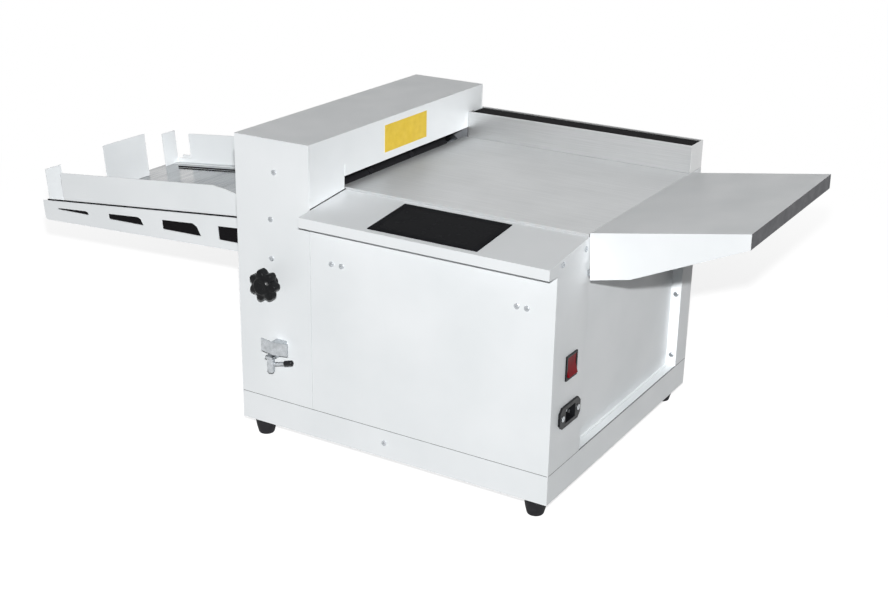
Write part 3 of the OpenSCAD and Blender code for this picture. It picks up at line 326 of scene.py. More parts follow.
@dataclass(frozen=True)
class Foam(Finish):
    """Closed cell foam, sliced into a strip. It gives a dull skin with small open cells.

    Attributes:
        cell: The size of a cell in millimetres.
    """

    cell: float = 1.6

    def dress(self, tree: bpy.types.NodeTree, shader: bpy.types.Node) -> None:
        """Adds the cells as pits and as lighter rims."""
        shader.inputs["Specular IOR Level"].default_value = 0.1
        place = add(tree, "ShaderNodeTexCoord").outputs["Object"]
        cells = add(tree, "ShaderNodeTexVoronoi", {"Vector": place, "Scale": 1 / (self.cell * MM)}).outputs[0]
        self.tint(tree, shader, self.between(tree, cells, 0, 1, 0.4))
        self.relief(tree, shader, cells, 0.3)


@dataclass(frozen=True)
class CircuitBoard(Finish):
    """Glass fibre laminate under a green lacquer, with tinned pads that show through it.

    Attributes:
        pad: The distance between pads in millimetres.
    """

    pad: float = 2.54

    def dress(self, tree: bpy.types.NodeTree, shader: bpy.types.Node) -> None:
        """Adds the pads and the lacquer's gloss."""
        shader.inputs["Coat Weight"].default_value = 0.5
        place = add(tree, "ShaderNodeTexCoord").outputs["Object"]
        spacing = {"Scale": 1 / (self.pad * MM), "Randomness": 0.25}
        pads = add(tree, "ShaderNodeTexVoronoi", {"Vector": place, **spacing})
        spots = add(tree, "ShaderNodeMath", {0: pads.outputs[0], 1: 0.28}, operation="LESS_THAN").outputs[0]
        self.tint(tree, shader, spots)


WHITE_PAINT = PowderCoat("white_powder_coat", "white_paint", "EFF2F4", "E6EAEC", 0.38)
GUIDE_PAINT = PowderCoat("pale_grey_powder_coat", "white_paint", "DFE2E4", "D6DADC", 0.4)
TABLE_STEEL = BrushedSteel("brushed_table_steel", "brushed_steel", "D2D4D5", "BABCBD", 0.5, mirror=0.7)
FENCE_STEEL = BrushedSteel("brushed_fence_steel", "brushed_steel", "D6D7D8", "B4B6B6", 0.34, mirror=0.85)
BED_STEEL = BrushedSteel(
    "polished_bed_steel", "brushed_steel", "ADAFB1", "808385", 0.18, Grain.ALONG_Y, streak=2.6, contrast=0.9
)
CABINET_STEEL = BrushedSteel(
    "galvanised_steel", "brushed_steel", "B9BCBE", "9DA1A4", 0.42, Grain.NONE, streak=7.0, contrast=1.0
)
BRIGHT_STEEL = PlatedSteel("zinc_plated_steel", "bright_steel", "C4C8CC", "A9ADB0", 0.3)
GROUND_STEEL = PlatedSteel("ground_shaft_steel", "bright_steel", "BFC2C5", "9EA1A4", 0.2, 3.0)
# Painted shade: a dark grey for the bearings, standing in for the shade they sit in under the hood.
BEARING_STEEL_PAINTED_SHADE = PlatedSteel("bearing_steel_painted_shade", "bright_steel", "55585B", "43464A", 0.5, 3.0)
CAST_STEEL = Moulding("cast_and_painted_steel", "cast_grey", "74777B", "66696C", 0.5, 1.4, 0.05)
BLACK_PLASTIC = Moulding("moulded_black_abs", "black_plastic", "141517", "1C1D20", 0.4, 0.5, 0.012, 0.0, 0.2)
KNOB_PLASTIC = Moulding("polished_phenolic", "black_plastic", "0B0C0E", "141517", 0.3, 0.9, 0.006, 0.0, 0.14)
PANEL_FILM = Moulding("black_panel_film", "screen_black", "17181B", "1B1C1F", 0.42, 0.5, 0.006, 0.0, 0.008)
SCREEN_GLASS = Moulding("black_screen_glass", "screen_black", "151619", "18191C", 0.24, 2.0, 0.001, 0.0, 0.01)
BLACK_RUBBER = Moulding("nitrile_rubber", "black_rubber", "17171A", "232327", 0.72, 1.0, 0.04)
# Painted shade: a grey for the line of shade along the step between the plinth tray and the covers.
SEAM_PAINTED_SHADE = Moulding("seam_painted_shade_grey", "black_rubber", "6E7073", "626467", 0.7, 1.0, 0.01)
RED_LENS = Moulding("red_polycarbonate", "switch_red", "8E0C1A", "740812", 0.22, 2.2, 0.006, 0.0, 0.05)
MARK_INK = Moulding("white_marking_ink", "white_paint", "E8E8E6", "D8D8D4", 0.5, 0.5, 0.004)
YELLOW_FILM = Moulding("yellow_vinyl_film", "sign_yellow", "EBCB48", "E0BE3C", 0.5, 1.5, 0.004)
FENCE_FOAM = Foam("black_cell_foam", "black_plastic", "0C0B0D", "161517", 0.9)
# Painted shade: a grey for the extension's end flange, standing in for the shade that falls on it.
FLANGE_PAINTED_SHADE = Moulding("flange_painted_shade_grey", "black_plastic", "6F7074", "65666A", 0.55, 1.2, 0.03)
BOARD = CircuitBoard("lacquered_laminate", "board_green", "1C5A38", "A9A48A", 0.3)
CHIP = Moulding("black_epoxy_chips", "board_green", "1B1C1D", "26272A", 0.5, 0.8, 0.01)


# ---- Shapes ----


def piece(name: str, shape: bmesh.types.BMesh, finishes: Iterable[Finish], body: str) -> bpy.types.Object:
    """Turns a shape into a piece that rides on a body of the machine.

    Args:
        name: The piece's name.
        shape: The finished shape in the frame's own coordinates. It is freed.
        finishes: The finishes, in the order of the shape's material numbers.
        body: The CAD body that carries the piece.

    Returns:
        The new object.
    """
    mesh = bpy.data.meshes.new(name)
    shape.to_mesh(mesh)
    shape.free()
    made = bpy.data.objects.new(name, mesh)
    bpy.context.scene.collection.objects.link(made)
    mesh.shade_smooth()
    mesh.set_sharp_from_angle(angle=math.radians(32))
    flat = made.modifiers.new("even_normals", "WEIGHTED_NORMAL")
    flat.keep_sharp = True
    used = list(finishes)
    for finish in used:
        mesh.materials.append(finish.material())
    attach(made, body)
    LOG.info("%s: %d faces on %s", name, len(mesh.polygons), body)
    return made


def merged_copy(node: str) -> bmesh.types.BMesh:
    """Copies a CAD node's mesh, with its corners merged and its flat triangles joined.

    Args:
        node: The name of the CAD node.

    Returns:
        The copy.
    """
    shape = bmesh.new()
    shape.from_mesh(frame["nodes"][node].data)
    bmesh.ops.remove_doubles(shape, verts=shape.verts, dist=0.002 * MM)
    bmesh.ops.dissolve_limit(
        shape,
        angle_limit=math.radians(0.3),
        verts=shape.verts,
        edges=shape.edges,
        use_dissolve_boundaries=False,
    )
    return shape


def round_edges(shape: bmesh.types.BMesh, radius: float, segments: int = 2) -> None:
    """Rounds every edge that is sharper than 40 degrees.

    Args:
        shape: The shape that is changed.
        radius: The radius of the rounding.
        segments: How many faces run round each edge.
    """
    sharp = [e for e in shape.edges if e.is_manifold and e.calc_face_angle(0.0) > math.radians(40)]
    bmesh.ops.bevel(
        shape,
        geom=sharp,
        offset=radius,
        offset_type="OFFSET",
        segments=segments,
        profile=0.5,
        affect="EDGES",
        clamp_overlap=True,
        loop_slide=True,
        material=-1,
    )


def paint(shape: bmesh.types.BMesh, number: int, test: Test) -> None:
    """Gives the faces that pass a test another material number.

    Args:
        shape: The shape that is changed.
        number: The material number.
        test: Says of a face whether it is changed.
    """
    for face in shape.faces:
        if test(face):
            face.material_index = number


def block(shape: bmesh.types.BMesh, size: Point, centre: Point) -> None:
    """Adds a box to a shape.

    Args:
        shape: The shape that grows.
        size: The box's size.
        centre: The box's middle.
    """
    made = bmesh.ops.create_cube(shape, size=1.0)["verts"]
    bmesh.ops.scale(shape, vec=size, verts=made)
    bmesh.ops.translate(shape, vec=centre, verts=made)


def lathe(
    profile: list[tuple[float, float]], at: Point, facing: Matrix, steps: int = 40
) -> bmesh.types.BMesh:
    """Spins a profile round an axis.

    Args:
        profile: Radius and height pairs, from the axis back to the axis.
        at: The place of the profile's zero height.
        facing: Turns the axis from Z to where it points.
        steps: The number of steps of the spin.

    Returns:
        The closed shape.
    """
    shape = bmesh.new()
    verts = [shape.verts.new((r, 0.0, z)) for r, z in profile]
    edges = [shape.edges.new(pair) for pair in zip(verts, verts[1:])]
    bmesh.ops.spin(
        shape,
        geom=[*verts, *edges],
        cent=(0, 0, 0),
        axis=(0, 0, 1),
        angle=2 * math.pi,
        steps=steps,
        use_merge=True,
        use_duplicate=False,
    )
    bmesh.ops.remove_doubles(shape, verts=shape.verts, dist=0.001 * MM)
    bmesh.ops.recalc_face_normals(shape, faces=shape.faces)
    bmesh.ops.transform(shape, matrix=Matrix.Translation(at) @ facing, verts=shape.verts)
    return shape


def slab(outline: list[tuple[float, float]], thickness: float, place: Matrix) -> bmesh.types.BMesh:
    """Makes a flat strip from its side view.

    Args:
        outline: The side view as X and Z pairs.
        thickness: How far the strip reaches along Y.
        place: Moves the finished strip to where it belongs.

    Returns:
        The closed shape.
    """
    shape = bmesh.new()
    verts = [shape.verts.new((x, 0.0, z)) for x, z in outline]
    edges = [shape.edges.new(pair) for pair in zip(verts, verts[1:] + verts[:1])]
    side = bmesh.ops.edgeloop_fill(shape, edges=edges)["faces"]
    grown = bmesh.ops.extrude_face_region(shape, geom=side)["geom"]
    far = [g for g in grown if isinstance(g, bmesh.types.BMVert)]
    bmesh.ops.translate(shape, vec=(0, thickness, 0), verts=far)
    bmesh.ops.recalc_face_normals(shape, faces=shape.faces)
    bmesh.ops.transform(shape, matrix=place, verts=shape.verts)
    return shape


def join(target: bmesh.types.BMesh, other: bmesh.types.BMesh) -> None:
    """Moves another shape into the target.

    Args:
        target: The shape that grows.
        other: The shape that is added and freed.
    """
    mesh = bpy.data.meshes.new("joined")
    other.to_mesh(mesh)
    other.free()
    target.from_mesh(mesh)
    bpy.data.meshes.remove(mesh)


@dataclass
class SubAssembly:
    """A group of pieces that are made and dressed together.

    Attributes:
        bend: The radius of the sheet metal's edges.
    """

    bend: float = 0.6 * MM

    def rounded(self, node: str, finish: Finish, radius: float = 0.0, segments: int = 2) -> bpy.types.Object:
        """Shows a CAD node as a copy with merged corners and rounded edges.

        Args:
            node: The name of the CAD node.
            finish: The finish of the whole piece.
            radius: The radius of the edges, or 0 to leave them.
            segments: How many faces run round each edge.

        Returns:
            The new piece.
        """
        shape = merged_copy(node)
        if radius:
            round_edges(shape, radius, segments)
        return self.instead(node, shape, [finish])

    def instead(self, node: str, shape: bmesh.types.BMesh, finishes: list[Finish]) -> bpy.types.Object:
        """Shows a shape in the place of a CAD node.

        Args:
            node: The name of the CAD node.
            shape: The shape that stands for it.
            finishes: The shape's finishes.

        Returns:
            The new piece.
        """
        made = piece(f"{node}.dressed", shape, finishes, BODY_OF[node])
        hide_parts(node)
        return made

    def dress(self, node: str, finish: Finish) -> None:
        """Gives a CAD node that stays as it is a finish.

        Args:
            node: The name of the CAD node.
            finish: Its finish.
        """
        shown = frame["nodes"][node]
        if not shown.material_slots:
            shown.data.materials.append(finish.material())
        for place in shown.material_slots:
            place.material = finish.material()

    def build(self) -> None:
        """Makes and dresses the pieces."""
        raise NotImplementedError


# ---- Sub-assemblies ----


@dataclass
class Casing(SubAssembly):
    """The plinth tray, the covers round the body, the screws and the rubber feet.

    Attributes:
        foot_radius: The radius of a foot at its top.
        sole_radius: The radius of a foot at the floor.
        seam_inset: How deep the seam's strip reaches into the casing.
        seam_proud: How far the strip stands out of the casing.
        seam_height: The height of the strip.
    """

    foot_radius: float = 14.5 * MM
    sole_radius: float = 10.5 * MM
    seam_inset: float = MM
    seam_proud: float = 0.06 * MM
    seam_height: float = 0.7 * MM

    def build(self) -> None:
        """Makes the covers, the feet and the screws."""
        for node in (
            "base_tray", "front_cover", "tower_front_cover", "side_strip", "rear_column", "rear_cover",
            "recess_panel", "left_cover", "exit_cover",
        ):  # fmt: skip
            self.rounded(node, WHITE_PAINT, self.bend)
        self.rounded("screws", BRIGHT_STEEL, 0.15 * MM)
        self.rounded("hinge_pins", BRIGHT_STEEL, 0.3 * MM)
        self.feet()
        self.seam()

    def seam(self) -> None:
        """Makes a thin grey strip of painted shade along the step between the plinth tray and the covers, in
        front and infeed side.
        """
        low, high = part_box("base_tray")
        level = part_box("front_cover")[0].z
        inset, proud = self.seam_inset, self.seam_proud
        front = (low.x + inset, high.x - inset, low.y - proud, low.y + inset)
        infeed = (high.x - inset, high.x + proud, low.y + inset, high.y - inset)
        shape = bmesh.new()
        for x0, x1, y0, y1 in (front, infeed):
            block(shape, (x1 - x0, y1 - y0, self.seam_height), ((x0 + x1) / 2, (y0 + y1) / 2, level))
        # Painted shade: the strip draws the step's shade line in grey.
        piece("plinth_seam_painted_shade", shape, [SEAM_PAINTED_SHADE], "body")

    def feet(self) -> None:
        """Makes the four moulded rubber feet, each with a recess for its screw."""
        low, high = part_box("feet")
        height = high.z - low.z
        top, sole = self.foot_radius, self.sole_radius
        profile = [
            (0.0, 2.5 * MM), (3.6 * MM, 2.5 * MM), (4.0 * MM, 2.1 * MM), (4.2 * MM, 0.4 * MM),
            (4.6 * MM, 0.0), (sole - 2.0 * MM, 0.0), (sole - 0.8 * MM, 0.4 * MM), (sole, 1.6 * MM),
            (sole + 0.6 * MM, 4.0 * MM), (sole + 1.6 * MM, 8.0 * MM), (sole + 2.5 * MM, 12.0 * MM),
            (top - 0.6 * MM, height - 6.6 * MM), (top - 0.1 * MM, height - 4.6 * MM),
            (top, height - 3.6 * MM), (top, height - 0.8 * MM), (top - 0.7 * MM, height), (0.0, height),
        ]  # fmt: skip
        shape = bmesh.new()
        for x in (low.x + top, high.x - top):
            for y in (low.y + top, high.y - top):
                join(shape, lathe(profile, (x, y, low.z), Matrix.Identity(4)))
        self.instead("feet", shape, [BLACK_RUBBER])


@dataclass
class Hood(SubAssembly):
    """The hinged hood over the creasing unit, with its plain yellow plate.

    Attributes:
        bend: The radius of the hood's folded edges.
        sheet: The thickness of the hood's sheet.
        slit: How far the middle of the relief slit lies behind the hood's front.
        skirt: How far the side's lower edge lies below the hood's top.
        strip: The size of the strip behind the slit.
        strip_rise: How far the strip's middle lies above the side's lower edge.
    """

    bend: float = 0.7 * MM
    sheet: float = 1.5 * MM
    slit: float = 75.6 * MM
    skirt: float = 55 * MM
    strip: Point = (0.8 * MM, 5 * MM, 16 * MM)
    strip_rise: float = 8.3 * MM

    def slit_shade_strip(self) -> None:
        """Makes a dark strip of painted shade behind the relief slit in the hood's side."""
        low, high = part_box("hood")
        x = high.x - self.sheet - self.strip[0] / 2
        shape = bmesh.new()
        # Painted shade: a black strip so that the slit looks dark as if shaded inside.
        block(shape, self.strip, (x, low.y + self.slit, high.z - self.skirt + self.strip_rise))
        piece("slit_painted_shade", shape, [BLACK_PLASTIC], "hood")

    def build(self) -> None:
        """Makes the hood and the plate."""
        self.slit_shade_strip()
        self.rounded("hood", WHITE_PAINT, self.bend)
        self.rounded("yellow_plate", YELLOW_FILM, 0.15 * MM).visible_glossy = False


@dataclass
class ControlDeck(SubAssembly):
    """The sloping deck in front, with its touch panel.

    Attributes:
        border: The width of the panel's border round the screen.
        sunk: How deep the screen lies below the panel's film.
        step: The width of the slope from the film down to the screen.
    """

    border: float = 7.0 * MM
    sunk: float = 0.15 * MM
    step: float = 0.25 * MM

    def build(self) -> None:
        """Makes the deck and the touch panel."""
        self.rounded("control_deck", WHITE_PAINT, self.bend)
        self.panel()

    def panel(self) -> None:
        """Makes the panel, with a screen set into its film."""
        shape = merged_copy("touch_panel")
        top = max(shape.faces, key=lambda face: face.normal.z * face.calc_area())
        bmesh.ops.inset_region(shape, faces=[top], thickness=self.border, use_even_offset=True)
        bmesh.ops.inset_region(
            shape, faces=[top], thickness=self.step, depth=-self.sunk, use_even_offset=True
        )
        top.material_index = 1
        round_edges(shape, 0.3 * MM)
        self.instead("touch_panel", shape, [PANEL_FILM, SCREEN_GLASS])


@dataclass
class FeedTable(SubAssembly):
    """The brushed steel table with its frame and the channel shaped side fence."""

    def build(self) -> None:
        """Makes the table, its posts and beams, and the fence with its foam."""
        self.rounded("feed_table", TABLE_STEEL, self.bend)
        self.rounded("side_fence", FENCE_STEEL, self.bend)
        self.rounded("fence_liner", FENCE_FOAM, 0.8 * MM)
        self.rounded("table_posts", CAST_STEEL, 1.2 * MM)
        self.rounded("table_beams", CAST_STEEL, 1.2 * MM)


@dataclass
class Extension(SubAssembly):
    """The hinged extension of the table on the infeed side.

    Attributes:
        facing: The least X part of the normal of a face of the end flange, which is painted grey as shade.
        end_zone: How far from the extension's end the flange's faces lie at most.
    """

    facing: float = 0.85
    end_zone: float = 20 * MM

    def build(self) -> None:
        """Makes the extension and its brackets, with a grey of painted shade on the end flange's outer faces.
        """
        shape = merged_copy("infeed_extension")
        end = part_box("infeed_extension")[1].x - self.end_zone
        # Painted shade: the end flange's outer faces get a grey that stands for the shade on them.
        paint(shape, 1, lambda face: face.normal.x > self.facing and face.calc_center_median().x > end)
        round_edges(shape, self.bend)
        self.instead("infeed_extension", shape, [WHITE_PAINT, FLANGE_PAINTED_SHADE])
        self.rounded("extension_brackets", BRIGHT_STEEL, 0.3 * MM)


@dataclass
class CreasingUnit(SubAssembly):
    """The side plates with the rollers, the creasing beam, its blade and the crank that drives it."""

    def build(self) -> None:
        """Makes and dresses the mechanism in the tower."""
        self.rounded("side_plate_front", CAST_STEEL, 0.8 * MM)
        self.rounded("side_plate_rear", CAST_STEEL, 0.8 * MM)
        self.rounded("tie_bars", GROUND_STEEL, 0.5 * MM)
        # Painted shade: the bearings are dark grey for the shade under the hood.
        self.rounded("bearings", BEARING_STEEL_PAINTED_SHADE)
        for place in ("feed", "exit"):
            for level in ("lower", "upper"):
                self.rounded(f"{place}_shaft_{level}", GROUND_STEEL)
                self.rounded(f"{place}_rubber_{level}", BLACK_RUBBER, 0.6 * MM)
        self.rounded("crease_beam", CAST_STEEL, 0.8 * MM)
        self.rounded("crease_blade", GROUND_STEEL)
        self.rounded("crease_anvil", GROUND_STEEL, 0.4 * MM)
        self.rounded("crank_shaft", GROUND_STEEL)
        self.rounded("crank_pinion", GROUND_STEEL)
        self.dress("return_springs", BRIGHT_STEEL)


@dataclass
class Drive(SubAssembly):
    """The two motors, the pulley and the belts."""

    def build(self) -> None:
        """Makes and dresses the drive."""
        self.rounded("crease_motor", CAST_STEEL, 0.8 * MM)
        self.rounded("feed_motor", CAST_STEEL, 0.8 * MM)
        self.rounded("motor_pulley", BRIGHT_STEEL)
        self.rounded("drive_belts", BLACK_RUBBER)


@dataclass
class Electrics(SubAssembly):
    """The control board, the power supply, the rocker switch and the mains inlet.

    Attributes:
        lift: How far the marks stand out of the rocker.
        bar: The length and the width of the bar that marks on.
        ring: The outer radius and the width of the ring that marks off.
        pivot_depth: How far the rocker's pivot lies behind its front.
        rest_tilt: The rocker's turn at rest in degrees.
        half_at: How far from the pivot a mark lies, outwards, and up or down.
        chip_level: How far above the board's lowest point its chips start.
        pin_reach: Half the width and half the height of the place that a pin of the inlet takes up.
        pin_zone: How far a pin's faces lie at least from the inlet's back and from its front.
    """

    lift: float = 0.12 * MM
    bar: tuple[float, float] = (5.4 * MM, 1.0 * MM)
    ring: tuple[float, float] = (2.6 * MM, 0.8 * MM)
    pivot_depth: float = 8.6 * MM
    rest_tilt: float = -7
    half_at: tuple[float, float] = (5 * MM, 6 * MM)
    chip_level: float = 12 * MM
    pin_reach: tuple[float, float] = (1.2 * MM, 2.2 * MM)
    pin_zone: tuple[float, float] = (5.1 * MM, 2 * MM)

    def build(self) -> None:
        """Makes the electric parts."""
        self.board()
        self.rounded("power_supply", CABINET_STEEL, 0.8 * MM)
        self.rounded("switch_bezel", BLACK_PLASTIC, 0.5 * MM)
        self.rounded("switch_rocker", RED_LENS, 0.6 * MM, 3)
        self.marks()
        self.inlet()

    def board(self) -> None:
        """Makes the control board, with its chips in black."""
        shape = merged_copy("control_board")
        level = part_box("control_board")[0].z + self.chip_level
        paint(shape, 1, lambda face: face.calc_center_median().z > level)
        self.instead("control_board", shape, [BOARD, CHIP])

    def marks(self) -> None:
        """Makes the on and off marks on the two halves of the rocker."""
        low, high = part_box("switch_rocker")
        pivot = Vector((high.x - self.pivot_depth, (low.y + high.y) / 2, (low.z + high.z) / 2))
        tilt = Matrix.Rotation(math.radians(self.rest_tilt), 4, "Y")
        slope = math.atan2(2, 12)
        shape = bmesh.new()
        for side in (1, -1):
            turn = Matrix.Rotation(math.radians(90) + side * slope, 4, "Y")
            half = Matrix.Translation((self.half_at[0], 0, side * self.half_at[1]))
            place = Matrix.Translation(pivot) @ tilt @ (half @ turn)
            if side == 1:
                made = bmesh.ops.create_cube(shape, size=1.0)["verts"]
                bmesh.ops.scale(shape, vec=(*self.bar, 2 * self.lift), verts=made)
            else:
                radius, width = self.ring
                made = bmesh.ops.create_circle(shape, radius=radius, segments=32, cap_ends=True)["verts"]
                disc = made[0].link_faces[0]
                bmesh.ops.inset_region(shape, faces=[disc], thickness=width, use_even_offset=True)
                bmesh.ops.delete(shape, geom=[disc], context="FACES")
                ring = [face for face in shape.faces if all(v.co.length < 3 * MM for v in face.verts)]
                raised = bmesh.ops.extrude_face_region(shape, geom=ring)
                made = [g for g in raised["geom"] if isinstance(g, bmesh.types.BMVert)]
                bmesh.ops.translate(shape, vec=(0, 0, self.lift), verts=made)
                made = [v for v in shape.verts if v.co.length < 4 * MM]
            bmesh.ops.transform(shape, matrix=place, verts=made)
        bmesh.ops.recalc_face_normals(shape, faces=shape.faces)
        piece("rocker_marks", shape, [MARK_INK], "rocker")

    def inlet(self) -> None:
        """Makes the mains inlet, with its pins in plated metal."""
        shape = merged_copy("mains_inlet")
        low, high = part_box("mains_inlet")
        middle = (low + high) / 2
        pins = [Vector((0, y * MM, z * MM)) for y, z in ((-7, -1.5), (0, 2.5), (7, -1.5))]

        def on_pin(face: bmesh.types.BMFace) -> bool:
            """Says whether a face belongs to one of the pins.

            Args:
                face: The face.

            Returns:
                Whether it lies on a pin.
            """
            at = face.calc_center_median() - Vector((0, middle.y, middle.z))
            wide, tall = self.pin_reach
            back, front = self.pin_zone
            inside = any(abs(at.y - p.y) < wide and abs(at.z - p.z) < tall for p in pins)
            return inside and low.x + back < at.x < high.x - front

        paint(shape, 1, on_pin)
        round_edges(shape, 0.3 * MM)
        self.instead("mains_inlet", shape, [BLACK_PLASTIC, BRIGHT_STEEL])


@dataclass
class Controls(SubAssembly):
    """The star knob and the clamp lever on the tower's front.

    Attributes:
        lobes: The number of lobes on the knob.
        valley: The knob's radius between two lobes.
        lobe_rise: How much further the lobes stand out.
        knob_depth: The thickness of the knob's star.
        collar: The radius of the collar behind the star.
        stem: The radius of the stem.
        star_rings: The star's rings from front to back, as a radius, an inset and a depth in
            millimetres. A radius of 0 stands for the star's own outline.
    """

    lobes: int = 7
    valley: float = 15.3 * MM
    lobe_rise: float = 5.6 * MM
    star_rings: tuple[Point, ...] = (
        (4.0, 0, 1.2), (4.5, 0, 0.5), (9.4, 0, 0.0), (10.2, 0, 0.3), (12.0, 0, 2.4),
        (0, 2.6, 3.0), (0, 1.1, 3.5), (0, 0.3, 4.4), (0, 0, 6.0), (0, 0, 13.0),
        (0, 0.4, 14.7), (0, 1.2, 15.6), (0, 2.4, 16.0),
    )  # fmt: skip
    knob_depth: float = 16 * MM
    collar: float = 9.4 * MM
    stem: float = 5 * MM

    def build(self) -> None:
        """Makes the knob and the lever."""
        self.knob()
        self.rounded("lever_bracket", BRIGHT_STEEL, 0.4 * MM)
        self.rounded("clamp_lever", BRIGHT_STEEL, 0.5 * MM)
        self.rounded("lever_grip", BLACK_PLASTIC, 0.5 * MM)

    def knob(self) -> None:
        """Makes the moulded star with its crowned face, its collar and its stem."""
        low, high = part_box("star_knob")
        centre = Vector(((low.x + high.x) / 2, low.y, (low.z + high.z) / 2))
        turned = Matrix.Translation(centre) @ Matrix.Rotation(math.radians(-90), 4, "X")
        shape = bmesh.new()
        verts = bmesh.ops.create_circle(shape, radius=1.0, segments=self.lobes * 14)["verts"]
        edges = list(shape.edges)
        for step, (radius, inset, depth) in enumerate(self.star_rings):
            if step:
                grown = bmesh.ops.extrude_edge_only(shape, edges=edges)["geom"]
                verts = [g for g in grown if isinstance(g, bmesh.types.BMVert)]
                edges = [g for g in grown if isinstance(g, bmesh.types.BMEdge) and set(g.verts) <= set(verts)]
            for vert in verts:
                turn = math.atan2(vert.co.y, vert.co.x)
                wave = (0.5 + 0.5 * math.cos(self.lobes * turn)) ** 0.7
                reach = radius * MM if radius else self.valley + self.lobe_rise * wave - inset * MM
                vert.co = (reach * math.cos(turn), reach * math.sin(turn), depth * MM)
        bmesh.ops.holes_fill(shape, edges=shape.edges)
        bmesh.ops.recalc_face_normals(shape, faces=shape.faces)
        length = high.y - low.y
        back = self.knob_depth
        profile = [
            (0, back - MM), (self.collar, back - MM), (self.collar, back + 9 * MM),
            (self.collar - 2 * MM, 27.8 * MM), (self.stem, 27.9 * MM), (self.stem, length - 0.5 * MM),
            (self.stem - 0.5 * MM, length), (0, length),
        ]  # fmt: skip
        join(shape, lathe(profile, (0, 0, 0), Matrix.Identity(4)))
        bmesh.ops.transform(shape, matrix=turned, verts=shape.verts)
        self.instead("star_knob", shape, [KNOB_PLASTIC])


@dataclass
class DeliveryTray(SubAssembly):
    """The sloping tray on the exit side, with its two side guides and its end stop.

    Attributes:
        thin: The radius of the edges of the thin guides.
        slope: The tray's slope in degrees.
        wall: The thickness of the tray's sheet.
        bed: How deep the underside of the bed lies below the top of the rails.
        root_rise: How far the tray's root lies above the rails' highest point.
        near: How far from the root the painted shade strips start.
        end_gap: How far before the rails' end those strips stop.
        depths: How deep those strips reach at the root and at the tray's end.
        above: The lower and the upper edge of the painted shadow strip above the bed's edge.
        shadow_strip: The lower and the upper edge of the painted shadow strip at the far guide's foot.
        shadow_strip_t: The thickness of that strip.
        shadow_strip_gaps: How far before the guide's ends the strip stops, at the root and at the far end.
    """

    thin: float = 0.45 * MM
    slope: float = 5.8
    wall: float = 1.5 * MM
    bed: float = 8.0 * MM
    root_rise: float = 0.8 * MM
    near: float = 30 * MM
    end_gap: float = 8 * MM
    depths: tuple[float, float] = (44 * MM, 25 * MM)
    above: tuple[float, float] = (-6.3 * MM, 1.7 * MM)
    shadow_strip: tuple[float, float] = (-6.2 * MM, -3.8 * MM)
    shadow_strip_t: float = 0.3 * MM
    shadow_strip_gaps: tuple[float, float] = (2 * MM, 32 * MM)

    def along(self, x: float) -> float:
        """Turns a place along X into a distance along the slope, from the tray's root.

        Args:
            x: The place.

        Returns:
            The distance, which is negative towards the tray's end.
        """
        return (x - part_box("tray_rails")[1].x) / math.cos(math.radians(self.slope))

    def strip(self, outline: list[tuple[float, float]], thickness: float, y: float) -> bmesh.types.BMesh:
        """Makes a strip that slopes with the tray.

        Args:
            outline: Its side view, as distances along the slope from the root and above it.
            thickness: How far it reaches along Y.
            y: Where it starts.

        Returns:
            The closed shape.
        """
        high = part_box("tray_rails")[1]
        turn = Matrix.Rotation(math.radians(-self.slope), 4, "Y")
        root = Matrix.Translation((high.x, y, high.z + self.root_rise))
        return slab(outline, thickness, root @ turn)

    def shade_liners(self) -> None:
        """Makes black strips of painted shade behind the rails' windows and a painted shadow line above the
        bed's front edge.
        """
        low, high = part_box("tray_rails")
        near, far = -self.near, self.end_gap + self.along(low.x)
        top = -self.bed - 0.5 * MM
        # Painted shade: black strips behind the windows, where the view under the bed lies in shade, and one
        # above the bed's edge for the gap's shadow.
        behind = [(far, top), (near, top), (near, -self.depths[0]), (far, -self.depths[1])]
        shape = bmesh.new()
        for y in (low.y + self.wall + 0.2 * MM, high.y - self.wall - 1.4 * MM):
            join(shape, self.strip(behind, 1.2 * MM, y))
        bottom, top = self.above
        above = [(far, bottom), (near, bottom), (near, top), (far, top)]
        join(shape, self.strip(above, 1.4 * MM, low.y + self.wall + 0.05 * MM))
        piece("rail_painted_shade", shape, [FENCE_FOAM], "tray")

    def guide_shadow_strip(self) -> None:
        """Makes a black strip of painted shadow along the foot of the far guide, where it meets the bed."""
        low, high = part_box("side_guide_rear")
        near = self.along(high.x) - self.shadow_strip_gaps[0]
        far = self.along(low.x) + self.shadow_strip_gaps[1]
        bottom, top = self.shadow_strip
        outline = [(far, bottom), (near, bottom), (near, top), (far, top)]
        # Painted shadow: a thin black strip for the shadow line where the far guide meets the bed.
        shape = self.strip(outline, self.shadow_strip_t, low.y - self.shadow_strip_t)
        piece("rear_guide_painted_shadow", shape, [FENCE_FOAM], "rear_guide")

    def build(self) -> None:
        """Makes the tray, its brackets, the guides and the stop."""
        self.shade_liners()
        self.guide_shadow_strip()
        self.rounded("tray_rails", WHITE_PAINT, self.bend)
        self.rounded("tray_brackets", WHITE_PAINT, 0.3 * MM)
        self.rounded("tray_bed", BED_STEEL, self.bend)
        self.rounded("side_guide_front", WHITE_PAINT, self.thin)
        for node in ("side_guide_rear", "end_stop"):
            self.rounded(node, GUIDE_PAINT, self.thin)


# ---- Studio ----


